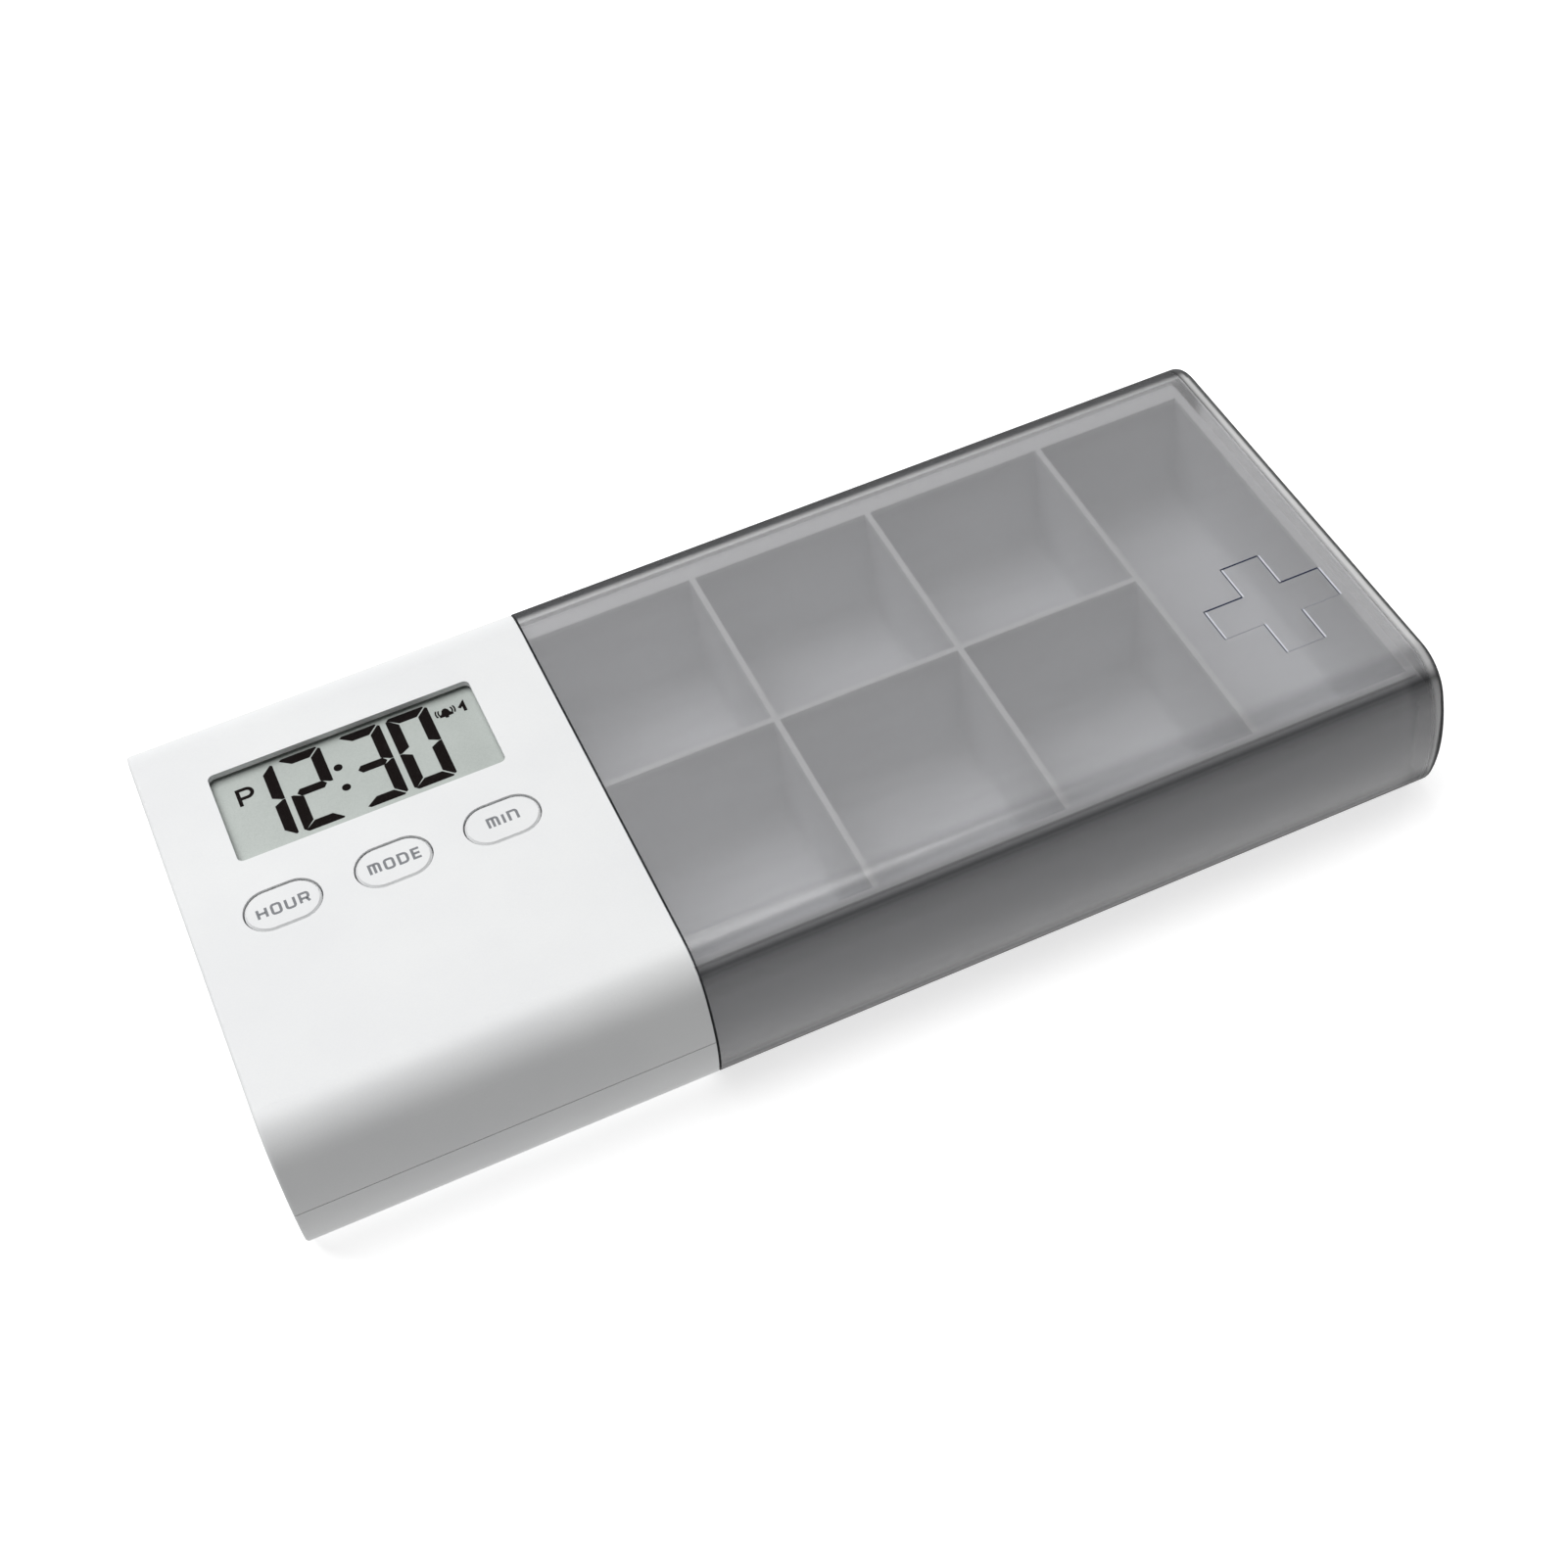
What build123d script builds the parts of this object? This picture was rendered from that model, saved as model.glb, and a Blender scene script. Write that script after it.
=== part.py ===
from build123d import *
import math
import os

# Electronic pill box. Millimetres: X runs along the box from the timer to the closed end of
# the sleeve, Y across it, Z up from the table. The origin is under the middle of the box.

# Whole case
case_length = 150.0
corner_radius = 6.1
bulge_radius = 25.2
end_edge_radius = 0.4

# Timer module: two shells that meet at a parting line
shell_wall = 1.8
side_margin = 4.2
parting_height = 11.0
parting_gap = 0.12
lip_wall = 0.8
lip_height = 1.4

# Clearances
seam_gap = 0.3
slide_clearance = 0.3
fit = 0.1
running_fit = 0.05
overrun = 1.0

# Smoke sleeve
sleeve_wall = 1.5
sleeve_end_radius = 1.2

# Pill tray
tray_wall = 1.4
tray_floor = 1.4
tray_near_inset = 5.7
tray_far_inset = 7.3
rim_gap = 1.7
rim_thickness = 1.5
rim_bead_width = 0.9
rim_bead_height = 0.4
runner_thickness = 1.8
bulkhead_thickness = 2.0
divider_thickness = 0.8
divider_pitch = 25.25
first_divider_inset = 23.7
compartment_floor_radius = 3.0
lug_thickness = 3.0

# Display and the opening over it
display_left_margin = 8.4
display_right_margin = 8.9
display_row = 14.9
opening_length = 34.4
opening_width = 15.2
opening_corner = 0.8
recess_depth = 0.8
window_margin = 1.2
window_thickness = 0.4
glass_margin = 0.7
glass_plate_thickness = 1.4
contact_ledge = 1.8
contact_strip_width = 1.4
contact_strip_height = 3.1
contact_strip_end_margin = 1.5
frame_wall = 0.8
frame_shelf = 1.0
frame_corner = 0.6

# Circuit board and what is soldered to it
board_thickness = 1.2
board_clearance = 2.45
board_edge_gap = 0.5
board_near_edge = 12.0
board_corner = 1.0
post_radius = 1.8
post_far_row = 20.0
post_near_row = 8.6
chip_radius = 4.2
chip_height = 1.4
crystal_radius = 1.0
crystal_length = 6.0
capacitor_length = 2.0
capacitor_width = 1.25
capacitor_height = 0.9
capacitor_pitch = 2.4
part_spacing = 1.6

# Buttons and their switches
button_offset = 0.3
button_row = 1.45
button_pitch = 13.85
button_length = 9.4
button_width = 6.1
button_gap = 0.2
button_edge_chamfer = 0.25
button_flange_margin = 0.7
button_flange_thickness = 1.0
button_travel = 0.3
switch_width = 6.0
switch_height = 2.1
switch_corner_chamfer = 0.6
switch_leg_width = 0.7
switch_leg_reach = 0.9
switch_leg_thickness = 0.3
plunger_radius = 1.7
plunger_reach = 2.2

# Battery bay: two AAA cells side by side, across the box
cell_length = 44.5
cell_radius = 5.25
cell_nub_radius = 2.7
cell_nub_height = 1.0
cell_edge_chamfer = 0.4
cell_gap = 0.25
cell_clearance = 0.2
cell_spacing = 0.7
bay_wall = 0.9
rail_height = 1.4
rail_wall = 1.1
contact_thickness = 0.4
contact_width = 8.0
contact_foot_height = 1.4
contact_top_share = 0.65
contact_dimple_radius = 1.8
contact_dimple_height = 0.9
contact_tab_width = 3.0
contact_tab_reach = 0.8
leaf_rise = 3.2
leaf_width = 4.0
leaf_half_height = 3.4

# Battery door, which slides out at the left end
door_tongue = 1.0
door_tongue_thickness = 0.75
grip_length = 7.0
grip_width = 18.0
grip_depth = 0.5
grip_rib_count = 4
grip_rib_width = 0.7

# Buzzer
buzzer_radius = 9.0
buzzer_plate_thickness = 0.3
buzzer_ceramic_radius = 6.5
buzzer_ceramic_thickness = 0.25
buzzer_ring_wall = 1.0
buzzer_ring_height = 3.4
buzzer_ledge = 0.8
buzzer_ledge_height = 1.2
buzzer_row = 3.0
sound_hole_radius = 0.8
sound_hole_circle = 4.2
sound_hole_count = 4
lead_radius = 0.4
lead_bend_radius = 2.4
lead_sweep = 2.6
lead_slope_rise = 7.0

# Screws
case_screw_radius = 1.15
case_screw_clearance = 0.2
case_screw_length = 9.5
case_screw_head_radius = 1.8
case_screw_head_height = 1.5
case_screw_recess = 4.2
case_boss_radius = 2.4
boss_clearance = 0.35
board_screw_radius = 0.85
board_screw_length = 3.6
board_screw_head_radius = 1.5
board_screw_head_height = 1.0

# Stiffening ribs under the roof of the timer
rib_thickness = 1.0
rib_depth = 2.0
rib_spacing = 12.0
rib_count = 3

# Section of the battery bay
door_thickness = shell_wall - fit
cell_axis_z = door_thickness + cell_gap + cell_radius
trough_radius = cell_radius + cell_clearance
cell_pitch = 2 * cell_radius + cell_spacing
contact_stack = 2 * contact_thickness + contact_dimple_height + leaf_rise
bay_half = (cell_length + contact_stack + fit) / 2
bay_outer_half = bay_half + bay_wall
bay_top = cell_axis_z + trough_radius + bay_wall

# Width and height of the case, from the cells, the screws beside them and the stack above
case_screw_row = bay_outer_half + boss_clearance + case_boss_radius
case_width = 2 * (case_screw_row + case_boss_radius + side_margin)
board_bottom = bay_top + board_clearance
board_top = board_bottom + board_thickness
ledge_z = board_top + contact_strip_height
glass_top = ledge_z + glass_plate_thickness
window_top = glass_top + fit + window_thickness
case_height = window_top + recess_depth
module_length = display_left_margin + opening_length + display_right_margin

# Ends and planes of the case
left_end = -case_length / 2
right_end = case_length / 2
seam_x = left_end + module_length
roof_z = case_height - shell_wall
inner_left = left_end + shell_wall
top_shell_z = parting_height + parting_gap / 2
bottom_shell_z = parting_height - parting_gap / 2
lip_inset = shell_wall - lip_wall

# Section of the case: flats joined to a bulged side by tangent corner arcs
bulge_centre = case_width / 2 - bulge_radius
shoulder_rise = case_height / 2 - corner_radius
shoulder_reach = math.sqrt((bulge_radius - corner_radius) ** 2 - shoulder_rise**2)
flat_half_width = bulge_centre + shoulder_reach
bulge_angle = math.degrees(math.atan2(shoulder_rise, shoulder_reach))

# Places in the display stack
display_x = left_end + display_left_margin + opening_length / 2
glass_bottom = ledge_z - glass_plate_thickness
glass_length = opening_length + 2 * glass_margin
glass_far_edge = display_row + opening_width / 2 + glass_margin
glass_near_edge = display_row - opening_width / 2 - glass_margin / 2 - contact_ledge
glass_width = glass_far_edge - glass_near_edge
glass_row = (glass_far_edge + glass_near_edge) / 2
frame_length = glass_length + 2 * (fit + frame_wall)
frame_width = glass_width + 2 * (fit + frame_wall)

# Heights through the buttons
button_x = display_x - button_offset
button_places = [(button_x + step * button_pitch, -button_row) for step in (-1, 0, 1)]
flange_top = roof_z - running_fit
flange_bottom = flange_top - button_flange_thickness
switch_top = board_top + switch_height
plunger_bottom = flange_bottom - plunger_reach

# Bulkhead of the tray, which closes the module
bulkhead_x = seam_x - bulkhead_thickness
tray_end = right_end - sleeve_wall - slide_clearance
tray_skin = sleeve_wall + slide_clearance
tray_top = case_height - sleeve_wall - rim_gap
tray_base = tray_skin
tray_near_inner = case_width / 2 - tray_near_inset
tray_far_inner = case_width / 2 - tray_far_inset
floor_z = tray_base + tray_floor
lug_bottom = parting_height - lug_thickness / 2
lug_top = parting_height + lug_thickness / 2

# Places along the battery bay
first_cell_x = inner_left + trough_radius + cell_clearance
second_cell_x = first_cell_x + cell_pitch
bay_right = second_cell_x + trough_radius
ledge_top = door_thickness - door_tongue_thickness - fit
rail_half = bay_half + fit + door_tongue + rail_wall
door_right = bay_right + fit
rail_right = door_right + fit + door_tongue + rail_wall

# Screws of the case, clear of the bay and of the bulkhead
case_screw_left = inner_left + boss_clearance + case_boss_radius
case_screw_right = bulkhead_x - boss_clearance - case_boss_radius
left_screw_places = [(case_screw_left, side * case_screw_row) for side in (-1, 1)]
right_screw_places = [(case_screw_right, side * case_screw_row) for side in (-1, 1)]
case_screw_places = left_screw_places + right_screw_places

# Posts that carry the board, left and right of the display frame
post_left = (inner_left + display_x - frame_length / 2) / 2
post_right = (bulkhead_x + display_x + frame_length / 2) / 2
post_places = [(x, y) for x in (post_left, post_right) for y in (-post_near_row, post_far_row)]
board_left = inner_left + board_edge_gap
board_right = bulkhead_x - board_edge_gap
board_far_edge = bay_outer_half
contact_tab_y = bay_half - contact_thickness / 2

# Buzzer, between the bay and the bulkhead
buzzer_x = (rail_right + bulkhead_x) / 2
buzzer_z = shell_wall + buzzer_ledge_height
buzzer_ring_radius = buzzer_radius + cell_clearance + buzzer_ring_wall
ceramic_z = buzzer_z + buzzer_plate_thickness

# Places on the underside of the board
chip_x = buzzer_x
chip_row = post_far_row - post_radius - chip_radius
crystal_row = chip_row - chip_radius - part_spacing - crystal_radius
capacitor_row = crystal_row - crystal_radius - part_spacing - capacitor_width / 2

# Compartments, as (left, right) along X
divider_x = [seam_x + first_divider_inset + step * divider_pitch for step in (0, 1, 2)]
compartment_left = seam_x + fit
compartment_right = tray_end - tray_wall


def case_section(plane, inset, low=0, high=case_height):
    """Draw the case's cross-section, inset from its outer skin, between two heights."""
    with BuildSketch(plane) as section:
        with BuildLine():
            top = Line((0, case_height - inset), (flat_half_width, case_height - inset))
            shoulder = JernArc(top @ 1, top % 1, corner_radius - inset, bulge_angle - 90)
            side = JernArc(shoulder @ 1, shoulder % 1, bulge_radius - inset, -2 * bulge_angle)
            foot = JernArc(side @ 1, side % 1, corner_radius - inset, bulge_angle - 90)
            Line(foot @ 1, (0, inset))
            mirror(about=Plane.YZ)
        make_face()
        with Locations((0, (low + high) / 2)):
            Rectangle(case_width, high - low, mode=Mode.INTERSECT)
    return section.sketch


def box_between(low, high, mode=Mode.ADD):
    """Add or cut a block between two opposite corners, each given as (x, y, z)."""
    with BuildSketch(Plane.XY.offset(low[2])) as base:
        with Locations(((low[0] + high[0]) / 2, (low[1] + high[1]) / 2)):
            Rectangle(high[0] - low[0], high[1] - low[1])
    extrude(base.sketch, amount=high[2] - low[2], mode=mode)


os.makedirs("parts", exist_ok=True)
parts = []


def finish(builder, name):
    """Label a finished sub-part and put it in the list of parts to write."""
    builder.part.label = name
    parts.append(builder.part)


# Top shell of the timer: roof with the display opening and three button openings
with BuildPart() as top_shell:
    extrude(case_section(Plane.YZ.offset(left_end), 0), amount=module_length)
    fillet(top_shell.faces().sort_by(Axis.X)[0].edges(), radius=end_edge_radius)
    extrude(
        case_section(Plane.YZ.offset(inner_left), shell_wall),
        amount=module_length,
        mode=Mode.SUBTRACT,
    )
    split(bisect_by=Plane.XY.offset(top_shell_z), keep=Keep.TOP)
    # Rebate that takes the lip of the bottom shell
    rebate_inset = lip_inset - fit
    rebate_top = parting_height + lip_height + fit
    extrude(
        case_section(Plane.YZ.offset(left_end + rebate_inset), rebate_inset, 0, rebate_top),
        amount=module_length,
        mode=Mode.SUBTRACT,
    )
    # Bosses for the case screws and posts for the board
    for places, bottom in ((left_screw_places, top_shell_z), (right_screw_places, lug_top)):
        with BuildSketch(Plane.XY.offset(bottom)):
            with Locations(*places):
                Circle(case_boss_radius)
                Circle(case_screw_radius + running_fit, mode=Mode.SUBTRACT)
        extrude(amount=roof_z - bottom)
    with BuildSketch(Plane.XY.offset(board_top)):
        with Locations(*post_places):
            Circle(post_radius)
            Circle(board_screw_radius + running_fit, mode=Mode.SUBTRACT)
    extrude(amount=roof_z - board_top)
    # Ribs under the bare part of the roof
    rib_far_end = -board_near_edge - rib_thickness
    rib_near_end = -flat_half_width
    for step in range(rib_count):
        rib_x = display_x + (step - (rib_count - 1) / 2) * rib_spacing
        box_between(
            (rib_x - rib_thickness / 2, rib_near_end, roof_z - rib_depth),
            (rib_x + rib_thickness / 2, rib_far_end, roof_z),
        )
    # Opening over the display, and the seat of its window in the underside of the roof
    with BuildSketch(Plane.XY.offset(roof_z - overrun)):
        with Locations((display_x, display_row)):
            RectangleRounded(opening_length, opening_width, opening_corner)
    extrude(amount=shell_wall + 2 * overrun, mode=Mode.SUBTRACT)
    with BuildSketch(Plane.XY.offset(window_top)):
        with Locations((display_x, display_row)):
            RectangleRounded(
                opening_length + 2 * (window_margin + fit),
                opening_width + 2 * (window_margin + fit),
                opening_corner + window_margin,
            )
    extrude(amount=roof_z - overrun - window_top, mode=Mode.SUBTRACT)
    # Pocket in the roof for the top of the display frame
    with BuildSketch(Plane.XY.offset(glass_top + fit)):
        with Locations((display_x, glass_row)):
            RectangleRounded(frame_length + 2 * fit, frame_width + 2 * fit, frame_corner + fit)
    extrude(amount=roof_z - overrun - glass_top - fit, mode=Mode.SUBTRACT)
    # Openings for the buttons
    with BuildSketch(Plane.XY.offset(roof_z - overrun)):
        with Locations(*button_places):
            SlotOverall(button_length + 2 * button_gap, button_width + 2 * button_gap)
    extrude(amount=shell_wall + 2 * overrun, mode=Mode.SUBTRACT)
finish(top_shell, "module_top_shell")

# Bottom shell of the timer: battery bay, door rails, screw pillars and buzzer seat
with BuildPart() as bottom_shell:
    extrude(case_section(Plane.YZ.offset(left_end), 0), amount=module_length)
    fillet(bottom_shell.faces().sort_by(Axis.X)[0].edges(), radius=end_edge_radius)
    split(bisect_by=Plane.XY.offset(bottom_shell_z), keep=Keep.BOTTOM)
    lip_top = parting_height + lip_height
    extrude(
        case_section(Plane.YZ.offset(left_end + lip_inset), lip_inset, bottom_shell_z, lip_top),
        amount=module_length - lip_inset,
    )
    extrude(
        case_section(Plane.YZ.offset(inner_left), shell_wall),
        amount=module_length,
        mode=Mode.SUBTRACT,
    )
    # Pillars under the case screws
    for places, top in ((left_screw_places, bottom_shell_z), (right_screw_places, lug_bottom)):
        with BuildSketch(Plane.XY.offset(shell_wall)):
            with Locations(*places):
                Circle(case_boss_radius)
        extrude(amount=top - shell_wall)
    # Rails of the battery door, and the humped cover over the two cells
    box_between(
        (inner_left, -rail_half, shell_wall),
        (rail_right, rail_half, shell_wall + rail_height),
    )
    with BuildSketch(Plane.XZ.offset(-bay_outer_half)):
        with Locations((first_cell_x, cell_axis_z), (second_cell_x, cell_axis_z)):
            Circle(trough_radius + bay_wall)
        with Locations(((inner_left + bay_right + bay_wall) / 2, (shell_wall + cell_axis_z) / 2)):
            Rectangle(bay_right + bay_wall - inner_left, cell_axis_z - shell_wall)
    extrude(amount=2 * bay_outer_half)
    with BuildSketch(Plane.XZ.offset(-bay_half)):
        with Locations((first_cell_x, cell_axis_z), (second_cell_x, cell_axis_z)):
            Circle(trough_radius)
        with Locations(((inner_left + bay_right) / 2, cell_axis_z / 2)):
            Rectangle(bay_right - inner_left, cell_axis_z)
    extrude(amount=2 * bay_half, mode=Mode.SUBTRACT)
    # Slots through the cover for the tabs of the two terminals
    for cell_x in (first_cell_x, second_cell_x):
        box_between(
            (cell_x - contact_tab_width / 2 - fit, bay_half - contact_thickness - fit, cell_axis_z),
            (cell_x + contact_tab_width / 2 + fit, bay_half, cell_axis_z + 2 * trough_radius),
            mode=Mode.SUBTRACT,
        )
    # Opening that the door fills, and the grooves for its tongues
    box_between(
        (left_end - overrun, -bay_half - fit, -overrun),
        (door_right + fit, bay_half + fit, shell_wall),
        mode=Mode.SUBTRACT,
    )
    box_between(
        (left_end - overrun, -bay_half - fit - door_tongue, ledge_top),
        (door_right + fit + door_tongue, bay_half + fit + door_tongue, shell_wall),
        mode=Mode.SUBTRACT,
    )
    # Seat of the buzzer with its sound holes
    with BuildSketch(Plane.XY.offset(shell_wall)):
        with Locations((buzzer_x, -buzzer_row)):
            Circle(buzzer_ring_radius)
            Circle(buzzer_radius + cell_clearance, mode=Mode.SUBTRACT)
    extrude(amount=buzzer_ring_height)
    with BuildSketch(Plane.XY.offset(shell_wall)):
        with Locations((buzzer_x, -buzzer_row)):
            Circle(buzzer_ring_radius)
            Circle(buzzer_radius - buzzer_ledge, mode=Mode.SUBTRACT)
    extrude(amount=buzzer_ledge_height)
    with Locations((buzzer_x, -buzzer_row, shell_wall)):
        Hole(sound_hole_radius, depth=shell_wall + overrun)
        with PolarLocations(sound_hole_circle, sound_hole_count):
            Hole(sound_hole_radius, depth=shell_wall + overrun)
    # Counterbored holes for the case screws, drilled up from the underside
    for place_x, place_y in case_screw_places:
        with Locations(Location((place_x, place_y, 0), (180, 0, 0))):
            CounterBoreHole(
                case_screw_radius + case_screw_clearance,
                case_screw_head_radius + case_screw_clearance,
                case_screw_recess,
                depth=parting_height,
            )
finish(bottom_shell, "module_bottom_shell")

# Clear window over the display
with BuildPart() as display_window:
    with BuildSketch(Plane.XY.offset(window_top - window_thickness)):
        with Locations((display_x, display_row)):
            RectangleRounded(
                opening_length + 2 * window_margin,
                opening_width + 2 * window_margin,
                opening_corner + window_margin - fit,
            )
    extrude(amount=window_thickness)
finish(display_window, "display_window")

# Liquid crystal display: the upper plate stands past the lower one, where the strip touches it
with BuildPart() as display_glass:
    box_between(
        (display_x - glass_length / 2, glass_near_edge, ledge_z),
        (display_x + glass_length / 2, glass_far_edge, glass_top),
    )
    box_between(
        (display_x - glass_length / 2, glass_near_edge + contact_ledge, glass_bottom),
        (display_x + glass_length / 2, glass_far_edge, ledge_z),
    )
finish(display_glass, "display_glass")

# Conductive rubber strip between the display's ledge and the board
with BuildPart() as contact_strip:
    strip_y = glass_near_edge + contact_ledge / 2
    strip_half_length = glass_length / 2 - contact_strip_end_margin
    box_between(
        (display_x - strip_half_length, strip_y - contact_strip_width / 2, board_top),
        (display_x + strip_half_length, strip_y + contact_strip_width / 2, ledge_z),
    )
finish(contact_strip, "display_contact_strip")

# Frame that holds the display on the board
with BuildPart() as display_frame:
    with BuildSketch(Plane.XY.offset(board_top)):
        with Locations((display_x, glass_row)):
            RectangleRounded(frame_length, frame_width, frame_corner)
    extrude(amount=glass_top - board_top)
    box_between(
        (display_x - glass_length / 2 - fit, glass_near_edge - fit, glass_bottom),
        (display_x + glass_length / 2 + fit, glass_far_edge + fit, glass_top),
        mode=Mode.SUBTRACT,
    )
    box_between(
        (display_x - glass_length / 2 + frame_shelf, glass_near_edge - fit, board_top),
        (display_x + glass_length / 2 - frame_shelf, glass_far_edge - frame_shelf, glass_bottom),
        mode=Mode.SUBTRACT,
    )
finish(display_frame, "display_frame")

# Circuit board, with screw holes and slots for the battery tabs
with BuildPart() as circuit_board:
    with BuildSketch(Plane.XY.offset(board_bottom)):
        with Locations(((board_left + board_right) / 2, (board_far_edge - board_near_edge) / 2)):
            RectangleRounded(
                board_right - board_left, board_far_edge + board_near_edge, board_corner
            )
        with Locations((first_cell_x, contact_tab_y), (second_cell_x, contact_tab_y)):
            Rectangle(
                contact_tab_width + 2 * fit, contact_thickness + 2 * fit, mode=Mode.SUBTRACT
            )
    extrude(amount=board_thickness)
    with Locations(*[(x, y, board_top) for x, y in post_places]):
        Hole(board_screw_radius + running_fit, depth=board_thickness)
finish(circuit_board, "circuit_board")

# Controller chip under its drop of black resin
with BuildPart() as controller_chip:
    with BuildSketch(Plane.XZ.offset(-chip_row)):
        with BuildLine():
            drop_radius = (chip_radius**2 + chip_height**2) / (2 * chip_height)
            drop_angle = math.degrees(math.asin(chip_radius / drop_radius))
            bottom = (chip_x, board_bottom - chip_height)
            drop = JernArc(bottom, (1, 0), drop_radius, drop_angle)
            Polyline(drop @ 1, (chip_x, board_bottom), bottom)
        make_face()
    revolve(axis=Axis((chip_x, chip_row, board_bottom), (0, 0, 1)))
finish(controller_chip, "controller_chip")

# Watch crystal: a small can lying under the board
with BuildPart() as crystal:
    crystal_z = board_bottom - crystal_radius
    crystal_left = chip_x - crystal_length / 2
    with BuildSketch(Plane.YZ.offset(crystal_left)):
        with Locations((crystal_row, crystal_z)):
            Circle(crystal_radius)
    extrude(amount=crystal_length)
    chamfer(crystal.faces().sort_by(Axis.X)[-1].edges(), length=crystal_radius / 4)
finish(crystal, "timing_crystal")

# Three chip capacitors in a row under the board
with BuildPart() as capacitors:
    with BuildSketch(Plane.XY.offset(board_bottom - capacitor_height)):
        with Locations((chip_x, capacitor_row)):
            with GridLocations(capacitor_pitch + fit, 0, 3, 1):
                Rectangle(capacitor_length, capacitor_width)
    extrude(amount=capacitor_height)
finish(capacitors, "chip_capacitors")

# Buttons with their switches: cap, switch body and plunger for each
button_names = ("hour", "mode", "min")
for button_name, (place_x, place_y) in zip(button_names, button_places):
    with BuildPart() as cap:
        with BuildSketch(Plane.XY.offset(flange_bottom)):
            with Locations((place_x, place_y)):
                SlotOverall(
                    button_length + 2 * button_flange_margin,
                    button_width + 2 * button_flange_margin,
                )
        extrude(amount=button_flange_thickness)
        with BuildSketch(Plane.XY.offset(flange_top)):
            with Locations((place_x, place_y)):
                SlotOverall(button_length, button_width)
        extrude(amount=case_height - flange_top)
        chamfer(cap.faces().sort_by(Axis.Z)[-1].edges(), length=button_edge_chamfer)
    finish(cap, f"{button_name}_button")

    with BuildPart() as switch:
        with BuildSketch(Plane.XY.offset(board_top)):
            with Locations((place_x, place_y)):
                Rectangle(switch_width, switch_width)
        extrude(amount=switch_height)
        chamfer(switch.edges().filter_by(Axis.Z), length=switch_corner_chamfer)
        with BuildSketch(Plane.XY.offset(board_top)):
            with Locations((place_x, place_y)):
                with GridLocations(switch_width, switch_width / 2, 2, 2):
                    Rectangle(2 * switch_leg_reach, switch_leg_width)
        extrude(amount=switch_leg_thickness)
        with Locations((place_x, place_y, switch_top)):
            Hole(
                plunger_radius + running_fit,
                depth=switch_top - plunger_bottom + button_travel + fit,
            )
    finish(switch, f"{button_name}_switch")

    with BuildPart() as plunger:
        with BuildSketch(Plane.XY.offset(plunger_bottom)):
            with Locations((place_x, place_y)):
                Circle(plunger_radius)
        extrude(amount=plunger_reach)
        chamfer(plunger.faces().sort_by(Axis.Z)[-1].edges(), length=running_fit)
    finish(plunger, f"{button_name}_plunger")

# Piezo buzzer: a brass plate with a ceramic disc bonded to it
with BuildPart() as buzzer_plate:
    with BuildSketch(Plane.XY.offset(buzzer_z)):
        with Locations((buzzer_x, -buzzer_row)):
            Circle(buzzer_radius)
    extrude(amount=buzzer_plate_thickness)
finish(buzzer_plate, "buzzer_plate")

with BuildPart() as buzzer_ceramic:
    with BuildSketch(Plane.XY.offset(ceramic_z)):
        with Locations((buzzer_x, -buzzer_row)):
            Circle(buzzer_ceramic_radius)
    extrude(amount=buzzer_ceramic_thickness)
finish(buzzer_ceramic, "buzzer_ceramic")

# Two leads from the buzzer up to the board: one from the plate's rim, one from the ceramic
rim_lead_radius = (buzzer_radius + buzzer_ceramic_radius) / 2
ceramic_lead_radius = buzzer_ceramic_radius / 2
ceramic_top = ceramic_z + buzzer_ceramic_thickness
with BuildPart() as buzzer_leads:
    for lead_x, lead_z in (
        (buzzer_x + rim_lead_radius, ceramic_z),
        (buzzer_x - ceramic_lead_radius, ceramic_top),
    ):
        bend_z = (lead_z + board_bottom) / 2
        with BuildLine() as lead_path:
            FilletPolyline(
                (lead_x, -buzzer_row, lead_z),
                (lead_x, -buzzer_row, bend_z - lead_slope_rise / 2),
                (lead_x, -buzzer_row + lead_sweep, bend_z + lead_slope_rise / 2),
                (lead_x, -buzzer_row + lead_sweep, board_bottom),
                radius=lead_bend_radius,
            )
        with BuildSketch(Plane.XY.offset(lead_z)):
            with Locations((lead_x, -buzzer_row)):
                Circle(lead_radius)
        sweep(path=lead_path.line)
finish(buzzer_leads, "buzzer_leads")


def dry_cell(cell_x, direction):
    """Build one cell along Y with its raised terminal at the end that direction names."""
    tip = direction * (bay_half - contact_thickness - contact_dimple_height - fit / 2)
    with BuildPart() as cell:
        with BuildSketch(Plane.YZ.offset(cell_x)):
            with BuildLine():
                shoulder_y = tip - direction * cell_nub_height
                back_y = tip - direction * cell_length
                Polyline(
                    (tip, cell_axis_z),
                    (tip, cell_axis_z + cell_nub_radius),
                    (shoulder_y, cell_axis_z + cell_nub_radius),
                    (shoulder_y, cell_axis_z + cell_radius),
                    (back_y, cell_axis_z + cell_radius),
                    (back_y, cell_axis_z),
                    close=True,
                )
            make_face()
        revolve(axis=Axis((cell_x, 0, cell_axis_z), (0, 1, 0)))
        rims = cell.edges().filter_by(GeomType.CIRCLE)
        chamfer(
            rims.filter_by(lambda rim: rim.radius > cell_nub_radius), length=cell_edge_chamfer
        )
    return cell


finish(dry_cell(first_cell_x, 1), "first_cell")
finish(dry_cell(second_cell_x, -1), "second_cell")


def contact_plate(low_x, high_x, side, top):
    """Add the sprung-steel plate of a battery contact against the bay's end wall."""
    low_y, high_y = sorted((side * bay_half, side * (bay_half - contact_thickness)))
    box_between(
        (low_x, low_y, door_thickness + contact_foot_height),
        (high_x, high_y, top),
    )


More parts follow.
